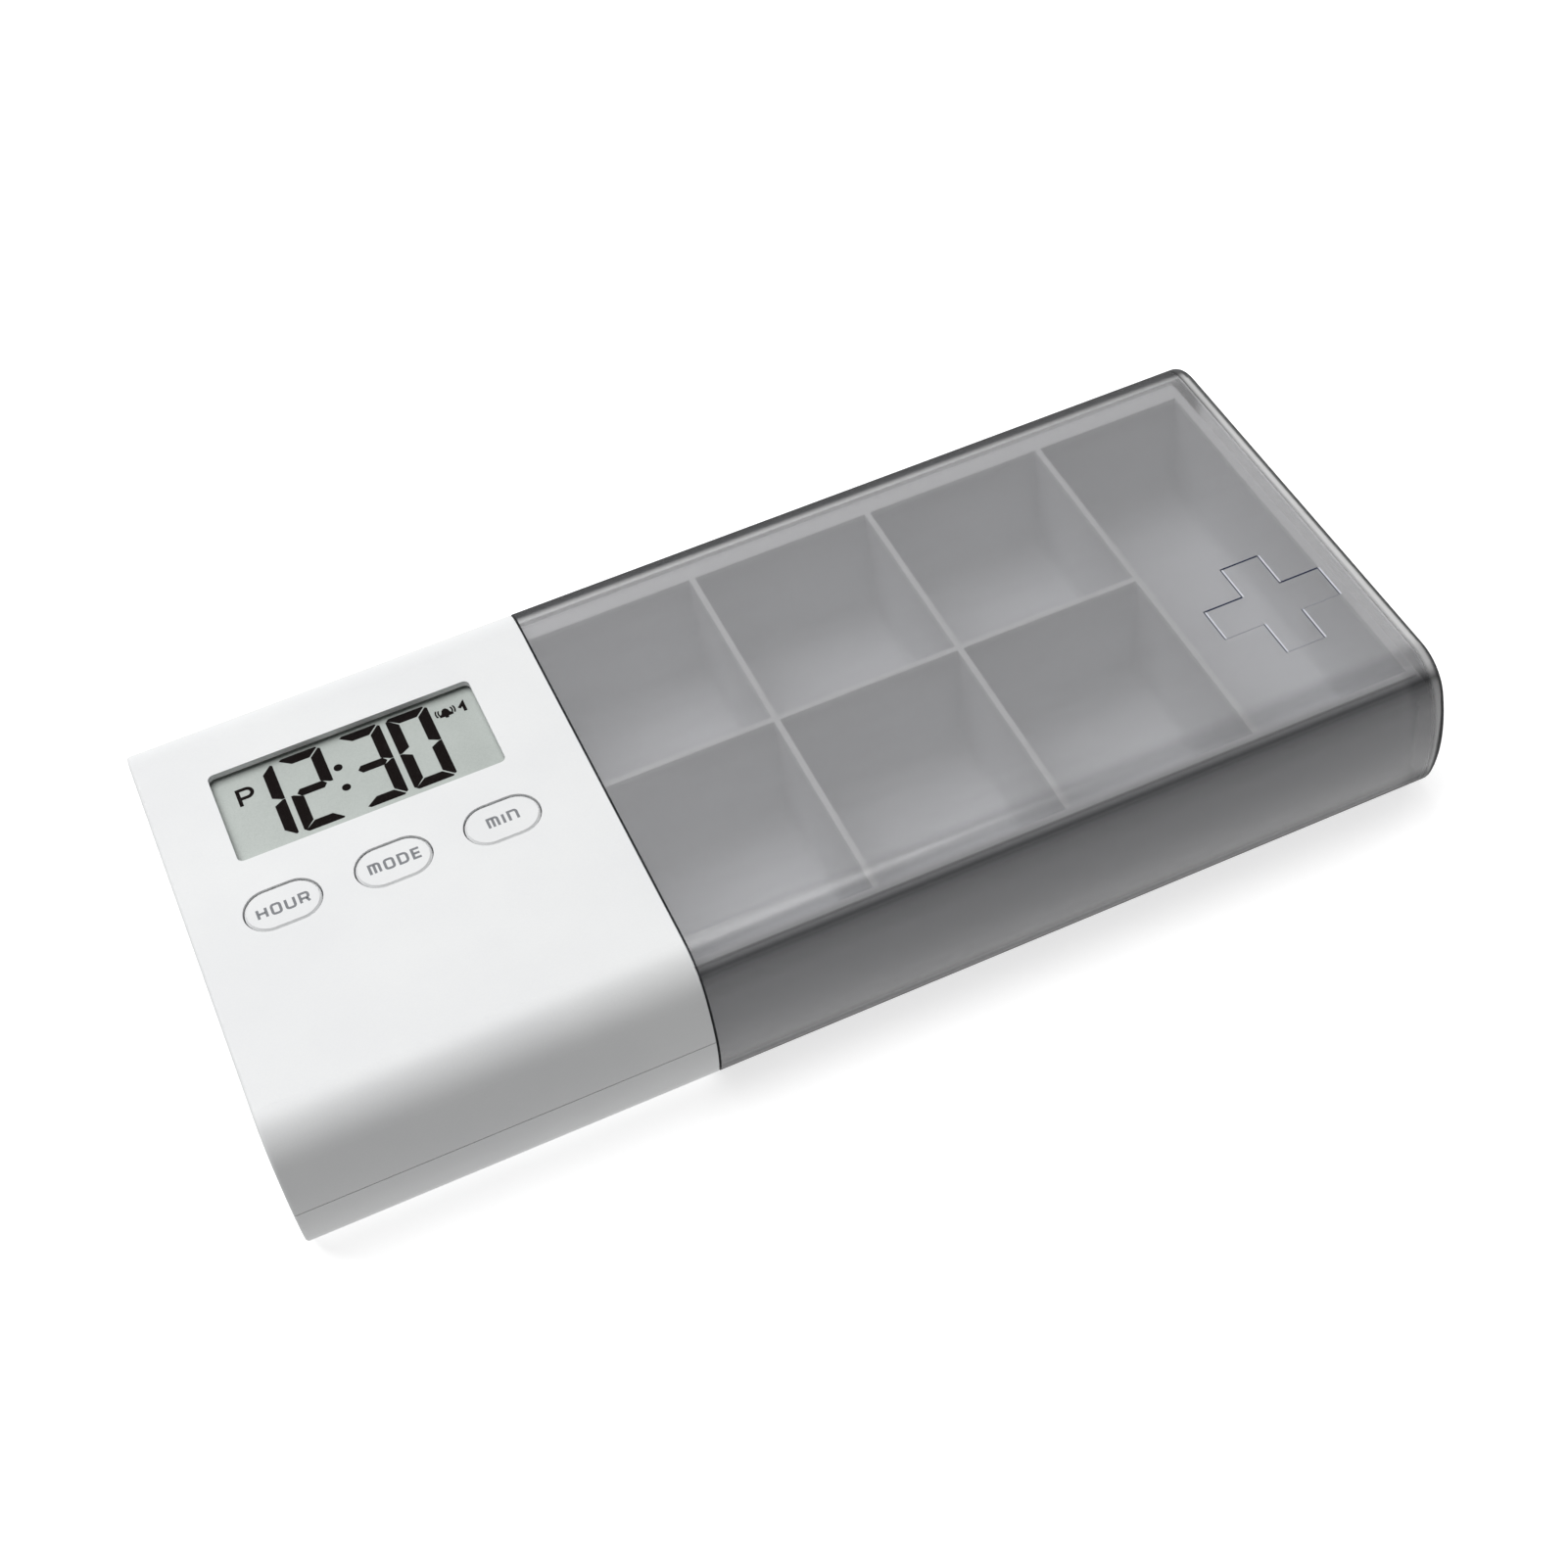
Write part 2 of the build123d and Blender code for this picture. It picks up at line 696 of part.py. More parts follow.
def contact_dimple(cell_x, side):
    """Add the pressed dimple that meets a cell's raised terminal."""
    with BuildSketch(Plane.XZ.offset(-side * (bay_half - contact_thickness))) as dimple:
        with Locations((cell_x, cell_axis_z)):
            Circle(contact_dimple_radius)
    extrude(dimple.sketch, amount=side * contact_dimple_height)


def contact_leaf(cell_x, side):
    """Add the arched leaf that pushes on the flat end of a cell."""
    foot_y = side * (bay_half - contact_thickness)
    crest_y = foot_y - side * leaf_rise
    with BuildSketch(Plane.YZ.offset(cell_x - leaf_width / 2)) as leaf:
        with BuildLine():
            outer = ThreePointArc(
                (foot_y, cell_axis_z - leaf_half_height),
                (crest_y, cell_axis_z),
                (foot_y, cell_axis_z + leaf_half_height),
            )
            inner = ThreePointArc(
                (foot_y, cell_axis_z + leaf_half_height - contact_thickness),
                (crest_y + side * contact_thickness, cell_axis_z),
                (foot_y, cell_axis_z - leaf_half_height + contact_thickness),
            )
            Line(outer @ 1, inner @ 0)
            Line(inner @ 1, outer @ 0)
        make_face()
    extrude(leaf.sketch, amount=leaf_width)


def contact_tab(cell_x):
    """Add the tab of a terminal, which rises through the bay's cover to the board."""
    box_between(
        (cell_x - contact_tab_width / 2, bay_half - contact_thickness, cell_axis_z),
        (cell_x + contact_tab_width / 2, bay_half, board_top + contact_tab_reach),
    )


half_contact = contact_width / 2
plate_top = cell_axis_z + trough_radius * contact_top_share
with BuildPart() as positive_terminal:
    contact_plate(first_cell_x - half_contact, first_cell_x + half_contact, 1, plate_top)
    contact_tab(first_cell_x)
    contact_dimple(first_cell_x, 1)
finish(positive_terminal, "positive_terminal")

with BuildPart() as negative_terminal:
    contact_plate(second_cell_x - half_contact, second_cell_x + half_contact, 1, plate_top)
    contact_tab(second_cell_x)
    contact_leaf(second_cell_x, 1)
finish(negative_terminal, "negative_terminal")

with BuildPart() as bridge_contact:
    contact_plate(first_cell_x, second_cell_x, -1, cell_axis_z)
    for cell_x in (first_cell_x, second_cell_x):
        contact_plate(cell_x - half_contact, cell_x + half_contact, -1, plate_top)
    contact_leaf(first_cell_x, -1)
    contact_dimple(second_cell_x, -1)
finish(bridge_contact, "bridge_contact")

# Battery door: a flat panel with tongues on three sides and a ribbed thumb grip
with BuildPart() as battery_door:
    box_between((left_end, -bay_half, 0), (door_right, bay_half, door_thickness))
    fillet(
        battery_door.edges().filter_by(Axis.Y).group_by(Axis.Z)[0].sort_by(Axis.X)[0],
        radius=end_edge_radius,
    )
    box_between(
        (left_end, -bay_half - door_tongue, ledge_top + fit),
        (door_right + door_tongue, bay_half + door_tongue, door_thickness),
    )
    grip_x = inner_left + grip_length / 2 + rail_wall
    with BuildSketch(Plane.XY):
        with Locations((grip_x, 0)):
            RectangleRounded(grip_length, grip_width, grip_length / 3)
        rib_step = grip_length / (grip_rib_count + 1)
        with Locations((grip_x, 0)):
            with GridLocations(rib_step, 0, grip_rib_count, 1):
                Rectangle(grip_rib_width, grip_width, mode=Mode.SUBTRACT)
    extrude(amount=grip_depth, mode=Mode.SUBTRACT)
finish(battery_door, "battery_door")


def screw(place, seat_z, radius, length, head_radius, head_height):
    """Add one screw that points up, with its head under the seat."""
    with BuildSketch(Plane.XY.offset(seat_z)) as shank:
        with Locations(place):
            Circle(radius)
    extrude(shank.sketch, amount=length)
    with BuildSketch(Plane.XY.offset(seat_z)) as head:
        with Locations(place):
            Circle(head_radius)
    extrude(head.sketch, amount=-head_height)


with BuildPart() as case_screws:
    for screw_place in case_screw_places:
        screw(
            screw_place,
            case_screw_recess,
            case_screw_radius,
            case_screw_length,
            case_screw_head_radius,
            case_screw_head_height,
        )
finish(case_screws, "case_screws")

with BuildPart() as board_screws:
    for screw_place in post_places:
        screw(
            screw_place,
            board_bottom,
            board_screw_radius,
            board_screw_length,
            board_screw_head_radius,
            board_screw_head_height,
        )
finish(board_screws, "board_screws")

# Pill tray: a drawer with seven compartments. Its rim and its runners follow the sleeve,
# and its bulkhead closes the module and is held by two lugs under the right case screws.
with BuildPart() as pill_tray:
    extrude(
        case_section(Plane.YZ.offset(seam_x), tray_skin, tray_base, tray_top),
        amount=tray_end - seam_x,
    )
    for side, inner in ((-1, tray_near_inner), (1, tray_far_inner)):
        low_y, high_y = sorted((side * (inner + tray_wall), side * case_width / 2))
        box_between(
            (seam_x, low_y, tray_base + runner_thickness),
            (tray_end + overrun, high_y, tray_top - rim_thickness),
            mode=Mode.SUBTRACT,
        )
    extrude(case_section(Plane.YZ.offset(bulkhead_x), shell_wall + fit), amount=bulkhead_thickness)
    # Lugs behind the bulkhead
    with BuildSketch(Plane.XY.offset(lug_bottom)):
        for side in (-1, 1):
            with Locations((case_screw_right, side * case_screw_row)):
                Circle(case_boss_radius)
            with Locations(((case_screw_right + bulkhead_x) / 2, side * case_screw_row)):
                Rectangle(bulkhead_x - case_screw_right, 2 * case_boss_radius)
    extrude(amount=lug_thickness)
    with Locations(*[(x, y, lug_top) for x, y in right_screw_places]):
        Hole(case_screw_radius + case_screw_clearance, depth=lug_thickness)
    # Compartments with scooped floors: three columns of two, and one across the closed end
    half_divider = divider_thickness / 2
    lefts = [compartment_left] + [x + half_divider for x in divider_x]
    rights = [x - half_divider for x in divider_x] + [compartment_right]
    paired_spans = [(-tray_near_inner, -half_divider), (half_divider, tray_far_inner)]
    spans = [paired_spans, paired_spans, paired_spans, [(-tray_near_inner, tray_far_inner)]]
    for left, right, rows in zip(lefts, rights, spans):
        with BuildSketch(Plane.YZ.offset(left)) as scoops:
            for low_y, high_y in rows:
                with Locations(((low_y + high_y) / 2, (floor_z + tray_top) / 2)):
                    Rectangle(high_y - low_y, tray_top - floor_z)
            fillet(scoops.vertices().group_by(Axis.Y)[0], radius=compartment_floor_radius)
        extrude(amount=right - left, mode=Mode.SUBTRACT)
    # Bead round the compartments, which stands above the rim
    bead_right = compartment_right + rim_bead_width
    bead_near = -tray_near_inner - rim_bead_width
    bead_far = tray_far_inner + rim_bead_width
    with BuildSketch(Plane.XY.offset(tray_top)):
        with Locations(((seam_x + tray_end) / 2, 0)):
            Rectangle(tray_end - seam_x, case_width)
        with Locations(((seam_x + bead_right) / 2, (bead_near + bead_far) / 2)):
            Rectangle(bead_right - seam_x, bead_far - bead_near, mode=Mode.SUBTRACT)
    extrude(amount=-rim_bead_height, mode=Mode.SUBTRACT)
finish(pill_tray, "pill_tray")

# Smoke sleeve: one closed-ended sleeve that slides over the tray
with BuildPart() as sleeve:
    sleeve_left = seam_x + seam_gap
    extrude(case_section(Plane.YZ.offset(sleeve_left), 0), amount=right_end - sleeve_left)
    fillet(sleeve.faces().sort_by(Axis.X)[-1].edges(), radius=sleeve_end_radius)
    extrude(
        case_section(Plane.YZ.offset(sleeve_left), sleeve_wall),
        amount=right_end - sleeve_wall - sleeve_left,
        mode=Mode.SUBTRACT,
    )
finish(sleeve, "smoke_sleeve")

for part in parts:
    export_step(part, f"parts/{part.label}.step")
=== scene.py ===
"""Looks of the electronic pill box: its finishes, printed marks, screws and studio.

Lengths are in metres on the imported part's own axes. X runs from the timer to the closed end
of the sleeve, Y runs from the buttons to the display, and Z runs up from the table.
"""

from __future__ import annotations

import logging
import math
from collections.abc import Callable, Iterable, Sequence
from dataclasses import dataclass
from enum import Enum
from functools import cached_property

import bmesh
import bpy
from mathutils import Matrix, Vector


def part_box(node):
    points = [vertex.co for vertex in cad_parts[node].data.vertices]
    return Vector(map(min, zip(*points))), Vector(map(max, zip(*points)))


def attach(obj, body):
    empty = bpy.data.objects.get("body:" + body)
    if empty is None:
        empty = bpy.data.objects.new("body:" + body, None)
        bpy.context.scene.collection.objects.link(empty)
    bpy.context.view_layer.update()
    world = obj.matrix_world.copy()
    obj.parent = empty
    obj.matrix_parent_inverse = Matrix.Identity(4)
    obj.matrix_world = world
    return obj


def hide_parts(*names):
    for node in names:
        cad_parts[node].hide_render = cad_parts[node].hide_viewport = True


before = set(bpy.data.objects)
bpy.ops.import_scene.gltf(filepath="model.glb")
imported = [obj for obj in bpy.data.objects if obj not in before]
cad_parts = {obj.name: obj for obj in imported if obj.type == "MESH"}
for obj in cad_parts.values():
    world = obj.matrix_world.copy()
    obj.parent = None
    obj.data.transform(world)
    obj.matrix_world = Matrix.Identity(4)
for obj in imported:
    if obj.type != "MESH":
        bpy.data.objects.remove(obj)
log = logging.getLogger("pill_box")

MM = 0.001
Point = tuple[float, float]
Place = tuple[float, float, float]
Colour = tuple[float, float, float, float]
Socket = bpy.types.NodeSocket
Sockets = dict[str | int, object]
Node = bpy.types.Node
Material = bpy.types.Material
Mesh = bmesh.types.BMesh
Vertices = list[bmesh.types.BMVert]


def linear(code: str) -> Colour:
    """Turn six hexadecimal digits after a hash into linear values, as sRGB defines them."""
    shares = [int(code[start : start + 2], 16) / 255 for start in (1, 3, 5)]
    low = [share / 12.92 for share in shares]
    high = [((share + 0.055) / 1.055) ** 2.4 for share in shares]
    red, green, blue = (a if s <= 0.04045 else b for s, a, b in zip(shares, low, high))
    return red, green, blue, 1.0


def operator(kind: str, swapped: bool = False) -> Callable[[Number, Number | float], Number]:
    """Give a method that adds the Math node of one operator, with its terms swapped or not."""

    def apply(self: Number, other: Number | float) -> Number:
        """Give this number and another, joined by the operator."""
        return self.math(kind, *((other, self) if swapped else (self, other)))

    return apply


class Number:
    """A number that a node gives. Its arithmetic adds Math nodes to the graph."""

    __add__ = __radd__ = operator("ADD")
    __mul__ = __rmul__ = operator("MULTIPLY")
    __sub__ = operator("SUBTRACT")
    __rsub__ = operator("SUBTRACT", swapped=True)
    __truediv__ = operator("DIVIDE")
    __mod__ = operator("FLOORED_MODULO")
    most = operator("MAXIMUM")

    def __init__(self, graph: Graph, socket: Socket) -> None:
        """Wrap one output socket of a graph."""
        self.graph = graph
        self.socket = socket

    def math(self, kind: str, *terms: Number | float) -> Number:
        """Add one Math node over some terms and give its result."""
        node = self.graph.node("ShaderNodeMath", {"operation": kind}, dict(enumerate(terms)))
        return Number(self.graph, node.outputs[0])

    def __abs__(self) -> Number:
        """Give this number without its sign."""
        return self.math("ABSOLUTE", self)

    def rise(self, low: float, high: float) -> Number:
        """Give 0 below one limit, 1 above the other and a smooth slope between them."""
        sockets = {"Value": self, "From Min": low, "From Max": high}
        settings = {"interpolation_type": "SMOOTHSTEP"}
        node = self.graph.node("ShaderNodeMapRange", settings, sockets)
        return Number(self.graph, node.outputs["Result"])

    def within(self, low: float, high: float, soft: float) -> Number:
        """Give 1 between two limits and 0 outside them, with soft edges."""
        return self.rise(low - soft, low + soft) * (1 - self.rise(high - soft, high + soft))


class Ray(Enum):
    """The kinds of ray that a shader tells apart."""

    CAMERA = "Is Camera Ray"
    SHADOW = "Is Shadow Ray"
    DIFFUSE = "Is Diffuse Ray"
    GLOSSY = "Is Glossy Ray"
    TRANSMISSION = "Is Transmission Ray"


class Graph:
    """The nodes of one material or of the world."""

    flow_pitch = 0.018
    gloss_pitch = 0.0035

    def __init__(self, owner: Material | bpy.types.World, output: str) -> None:
        """Start an empty graph with nothing but its output."""
        owner.use_nodes = True
        self.owner = owner
        self.tree = owner.node_tree
        self.tree.nodes.clear()
        self.output = self.node(output)

    @classmethod
    def of_material(cls, name: str) -> Graph:
        """Start the graph of a new material."""
        return cls(bpy.data.materials.new(name), "ShaderNodeOutputMaterial")

    @cached_property
    def place(self) -> Socket:
        """Give the place on the part, in the part's own axes."""
        return self.node("ShaderNodeTexCoord").outputs["Object"]

    def node(
        self,
        kind: str,
        settings: dict[str, object] | None = None,
        sockets: Sockets | None = None,
    ) -> Node:
        """Add one node.

        Args:
            kind: The node's type.
            settings: Its own settings, which are set first. Stops are a ramp's stops.
            sockets: The value, written colour, socket or number of each input, by its name
                or place.

        Returns:
            The new node.
        """
        node = self.tree.nodes.new(kind)
        for name, value in (settings or {}).items():
            if name == "stops":
                self._set_stops(node.color_ramp, value)
            else:
                setattr(node, name, value)
        for key, value in (sockets or {}).items():
            if isinstance(value, Number):
                value = value.socket
            if isinstance(value, str):
                value = linear(value)
            if isinstance(value, Socket):
                self.tree.links.new(value, node.inputs[key])
            else:
                node.inputs[key].default_value = value
        return node

    @staticmethod
    def _set_stops(ramp: bpy.types.ColorRamp, stops: Sequence[Point]) -> None:
        """Give a ramp its stops, each a place and a shade of grey."""
        while len(ramp.elements) < len(stops):
            ramp.elements.new(1.0)
        for element, (place, grey) in zip(ramp.elements, stops):
            element.position = place
            element.color = (grey, grey, grey, 1.0)

    def axes(self) -> tuple[Number, Number, Number]:
        """Give the place on the part as three numbers in metres."""
        node = self.node("ShaderNodeSeparateXYZ", None, {"Vector": self.place})
        x, y, z = (Number(self, socket) for socket in node.outputs)
        return x, y, z

    def stretched(self, scales: Place) -> Socket:
        """Give the place on the part with each axis scaled."""
        sockets = {0: self.place, 1: scales}
        return self.node("ShaderNodeVectorMath", {"operation": "MULTIPLY"}, sockets).outputs[0]

    def noise(self, pitch: float, detail: float = 3.0, place: Socket | None = None) -> Number:
        """Give smooth noise from 0 to 1, with lumps of a pitch in metres and finer layers."""
        sockets = {"Vector": place or self.place, "Scale": 1 / pitch, "Detail": detail}
        return Number(self, self.node("ShaderNodeTexNoise", None, sockets).outputs["Fac"])

    def clouds(self, speck: Number) -> Number:
        """Give the soft flow shading of moulded plastic, broken up by its grain."""
        flow = self.noise(self.flow_pitch, 4.0)
        return (flow * 0.75 + speck * 0.25).rise(0.25, 0.75)

    def uneven(self, middle: float, spread: float, noise: Number | None = None) -> Number:
        """Give a roughness that noise spreads round its middle."""
        return middle + ((noise or self.noise(self.gloss_pitch, 3.0)) - 0.5) * spread

    def ray(self, *kinds: Ray) -> Number:
        """Give 1 for rays of these kinds and 0 for all others."""
        path = self.node("ShaderNodeLightPath")
        found, *others = (Number(self, path.outputs[kind.value]) for kind in kinds)
        for other in others:
            found = found.most(other)
        return found

    def mix(self, share: Number, first: str | Socket, second: str | Socket) -> Socket:
        """Give a colour between two others, by the share of the second one."""
        sockets = {"Factor": share, 6: first, 7: second}
        return self.node("ShaderNodeMix", {"data_type": "RGBA"}, sockets).outputs[2]

    def bump(self, height: Number, depth: float) -> Socket:
        """Give a normal for a surface whose relief has a depth in metres."""
        sockets = {"Height": height, "Distance": depth, "Strength": 1.0}
        return self.node("ShaderNodeBump", None, sockets).outputs["Normal"]

    def matt(self, code: str) -> Node:
        """Add a matt shader of a written colour."""
        return self.node("ShaderNodeBsdfDiffuse", None, {"Color": code})

    def blend(self, share: Number, first: Node, second: Node) -> Node:
        """Add a blend of two shaders, by the share of the second one."""
        sockets = {0: share, 1: first.outputs[0], 2: second.outputs[0]}
        return self.node("ShaderNodeMixShader", None, sockets)

    def close(self, surface: Node, volume: Node | None = None) -> None:
        """Join the finished shaders to the output."""
        self.tree.links.new(surface.outputs[0], self.output.inputs["Surface"])
        if volume is not None:
            self.tree.links.new(volume.outputs[0], self.output.inputs["Volume"])


@dataclass(frozen=True)
class Finish:
    """A look with two colours. A plain one is made of one Principled shader."""

    name: str
    colour: str
    shade: str

    def material(self) -> Material:
        """Build the material."""
        graph = Graph.of_material(self.name)
        graph.close(graph.node("ShaderNodeBsdfPrincipled", None, self.sockets(graph)))
        return graph.owner

    def sockets(self, graph: Graph) -> Sockets:
        """Give the shader's inputs."""
        raise NotImplementedError


@dataclass(frozen=True)
class MouldedPlastic(Finish):
    """Opaque moulded plastic with a fine eroded grain and soft flow shading."""

    roughness: float = 0.42
    spread: float = 0.10
    grain: float = 0.00022
    relief: float = 0.000004

    def sockets(self, graph: Graph) -> Sockets:
        """Give the shader's inputs."""
        speck = graph.noise(self.grain, 2.0)
        return {
            "Base Color": graph.mix(graph.clouds(speck), self.shade, self.colour),
            "Roughness": graph.uneven(self.roughness, self.spread),
            "IOR": 1.5,
            "Specular IOR Level": 0.3,
            "Normal": graph.bump(speck, self.relief),
        }


@dataclass(frozen=True)
class SmokePlastic(Finish):
    """See-through smoke plastic, with its closed end and its far side given in metres.

    Its colour is what an eye sees through one face, and its shade is what a lamp loses there.
    A painted shade darkens it where its edges are seen at a slant and down its near side,
    and a painted highlight makes it pale just inside the edge of its closed end. A pair of
    slants or insets says where such a zone starts and where it is full, and insets are counted
    from the closed end.
    """

    closed_end: float
    far_side: float = 0.024
    # Tint of the painted shade at slanted edges and down the near side.
    painted_shade_tint: str = "#2A2B2D"
    depth_tint: str = "#6A6B6D"
    density: float = 12.0
    body: float = 0.10
    roughness: float = 0.16
    flow: Place = (0.09, 1.0, 1.0)
    line_slants: Point = (0.70, 0.88)
    far_slants: Point = (0.35, 0.56)
    far_soft: float = 0.002
    end_slants: Point = (0.36, 0.50)
    end_inset: Point = (0.0016, 0.0010)
    end_flat: Point = (0.90, 0.98)
    # Painted light: how far the closed end is made paler.
    end_painted_light: float = 0.45
    # Most share of that painted shade.
    painted_shade_share: float = 0.85
    # Painted highlight: a pale strip inside the closed end, where it starts and stops, its share.
    end_highlight_start: Point = (0.0020, 0.0014)
    end_highlight_stop: Point = (0.0011, 0.0006)
    end_highlight_share: float = 0.45
    # Painted shade by the closed end's near corner, and down the near side along a ramp.
    corner_inset: Point = (0.0052, 0.0038)
    corner_shade: float = 0.12
    shoulder: Point = (-0.02812, 0.0169)
    near_soft: Point = (0.001, 0.002)
    shade_turn: float = 50.0
    shade_top: float = 0.0047
    shade_reach: float = 0.017
    shade_stops: tuple[Point, ...] = (
        (0.0, 0.0),
        (0.10, 0.16),
        (0.165, 0.11),
        (0.20, 0.05),
        (0.255, 0.24),
        (0.317, 0.80),
        (0.362, 0.42),
        (0.41, 0.26),
        (0.53, 0.12),
        (0.935, 0.04),
        (1.0, 0.60),
    )

    def material(self) -> Material:
        """Build the material."""
        graph = Graph.of_material(self.name)
        x, y, z = graph.axes()
        glass = graph.node("ShaderNodeBsdfPrincipled", None, self.sockets(graph))
        # Painted highlight: white matt shader blended into a strip just inside the closed end.
        end_highlight = self._end_zone(x, self.end_highlight_start) * (1 - self._end_zone(x, self.end_highlight_stop))
        highlighted = graph.blend(end_highlight * self.end_highlight_share, glass, graph.matt("#FFFFFF"))
        # Painted shade: a dark matt shader blended in at slanted edges and down the near side.
        dark = self._slant_shade(graph, x, y).most(self._side_shade(graph, x, y, z))
        seen = graph.blend(dark * self.painted_shade_share, highlighted, graph.matt(self.painted_shade_tint))
        lit = graph.node("ShaderNodeBsdfTransparent", None, {"Color": self.shade})
        depth = {"Color": self.depth_tint, "Density": self.density}
        smoke = graph.node("ShaderNodeVolumeAbsorption", None, depth)
        graph.close(graph.blend(graph.ray(Ray.SHADOW, Ray.DIFFUSE), seen, lit), smoke)
        return graph.owner

    def sockets(self, graph: Graph) -> Sockets:
        """Give the inputs of the plastic's own shader."""
        x, _, _ = graph.axes()
        speck = graph.noise(0.0005, 2.0)
        marks = graph.noise(0.0016, 4.0, graph.stretched(self.flow))
        # Real flow marks, and painted light that makes the closed end paler.
        pale = (marks * 0.15).most(self._end_zone(x, self.end_inset) * self.end_painted_light)
        return {
            "Base Color": graph.mix(pale, self.colour, "#FFFFFF"),
            "Specular IOR Level": 0.1,
            "Roughness": graph.uneven(self.roughness, 0.06, marks),
            "IOR": 1.49,
            "Transmission Weight": 1.0 - self.body,
            "Normal": graph.bump(speck, 0.0000001),
        }

    def _end_zone(self, x: Number, inset: Point) -> Number:
        """Give a share that grows from 0 to 1 towards the closed end, between two insets."""
        return x.rise(self.closed_end - inset[0], self.closed_end - inset[1])

    def _near(self, y: Number) -> Number:
        """Give 1 on the near side and 0 on the flats and the far side."""
        before, past = self.near_soft
        return 1 - y.rise(self.shoulder[0] - before, self.shoulder[0] + past)

    def _slant_shade(self, graph: Graph, x: Number, y: Number) -> Number:
        """Give the dark share of the edges that are seen at a slant."""
        weight = graph.node("ShaderNodeLayerWeight", None, {"Blend": 0.5})
        facing = Number(graph, weight.outputs["Facing"])
        far = y.rise(self.far_side - self.far_soft, self.far_side + self.far_soft)
        normal = graph.node("ShaderNodeNewGeometry").outputs["Normal"]
        outward = graph.node("ShaderNodeSeparateXYZ", None, {"Vector": normal}).outputs["X"]
        rounded = 1 - abs(Number(graph, outward)).rise(*self.end_flat)
        end = self._end_zone(x, self.end_inset) * rounded * facing.rise(*self.end_slants)
        slant = facing.rise(*self.line_slants).most(far * facing.rise(*self.far_slants))
        return slant.most(end)

    def _side_shade(self, graph: Graph, x: Number, y: Number, z: Number) -> Number:
        """Give the painted shade down the near side, which grows from its shoulder and fades."""
        turn = math.radians(self.shade_turn)
        above = (y - self.shoulder[0]) * math.sin(turn) + (z - self.shoulder[1]) * math.cos(turn)
        depth = (self.shade_top - above) / self.shade_reach
        ramp = graph.node("ShaderNodeValToRGB", {"stops": self.shade_stops}, {"Fac": depth})
        # Painted shade by the near corner of the closed end.
        corner = self._end_zone(x, self.corner_inset) * self._near(y) * self.corner_shade
        return Number(graph, ramp.outputs["Color"]) * self._near(y) + corner


@dataclass(frozen=True)
class TrayPlastic(Finish):
    """White moulded plastic, whitest on its top edges by painted light.

    Below its top edges it stays nearer its shade colour, and a faint painted shade darkens its
    skirt outside the walls and the near rim's outer strip. The height of its top edges and the
    places of its walls along Y are in metres.
    """

    edge_height: float = 0.0194
    near_wall: float = -0.0305
    far_wall: float = 0.0289
    near_edge: float = -0.0308
    # Faint painted shade of the skirt outside the walls.
    skirt: str = "#E4E5E7"
    edge_depth: float = 0.0006
    wall_soft: float = 0.0002
    skirt_top: Point = (0.0003, 0.0001)

    def sockets(self, graph: Graph) -> Sockets:
        """Give the shader's inputs."""
        _, y, z = graph.axes()
        speck = graph.noise(0.0003, 2.0)
        # Painted light: the top edges take the full colour; below them it stays nearer the shade.
        edges = z.rise(self.edge_height - self.edge_depth, self.edge_height)
        white = graph.mix(edges.most(graph.clouds(speck) * 0.35), self.shade, self.colour)
        # Painted shade: a faintly darker skirt outside the walls and on the near rim's outer strip.
        low, high = self.skirt_top
        outside = 1 - y.within(self.near_wall, self.far_wall, self.wall_soft)
        under = outside * (1 - z.rise(self.edge_height - low, self.edge_height - high))
        under = under.most(1 - y.rise(self.near_edge - low, self.near_edge + high))
        return {
            "Base Color": graph.mix(under, white, self.skirt),
            "Roughness": graph.uneven(0.5, 0.1),
            "IOR": 1.5,
            "Specular IOR Level": 0.3,
            "Subsurface Weight": 0.4,
            "Subsurface Radius": (0.002, 0.002, 0.002),
            "Normal": graph.bump(speck, 0.000004),
        }


@dataclass(frozen=True)
class ClearPlastic(Finish):
    """Clear polished sheet under a little dust, that shows what lies under it."""

    veil: float

    def sockets(self, graph: Graph) -> Sockets:
        """Give the shader's inputs."""
        dust = graph.noise(0.0009, 4.0).rise(0.55, 0.85)
        return {
            "Base Color": graph.mix(dust, self.colour, self.shade),
            "Roughness": 0.06 + dust * 0.10,
            "IOR": 1.49,
            "Specular IOR Level": 0.04,
            "Alpha": self.veil + dust * 0.006,
            "Normal": graph.bump(graph.noise(0.006, 2.0), 0.000004),
        }


@dataclass(frozen=True)
class CrystalPanel(Finish):
    """Grey-green display glass with a fine reflector grain."""

    def sockets(self, graph: Graph) -> Sockets:
        """Give the shader's inputs."""
        grain = graph.noise(0.00016, 2.0)
        drift = graph.noise(0.012, 2.0)
        cloud = (grain * 0.55 + drift * 0.45).rise(0.3, 0.7)
        return {
            "Base Color": graph.mix(cloud, self.shade, self.colour),
            "Roughness": graph.uneven(0.30, 0.1, grain),
            "Specular IOR Level": 0.2,
            "Normal": graph.bump(grain, 0.000002),
        }


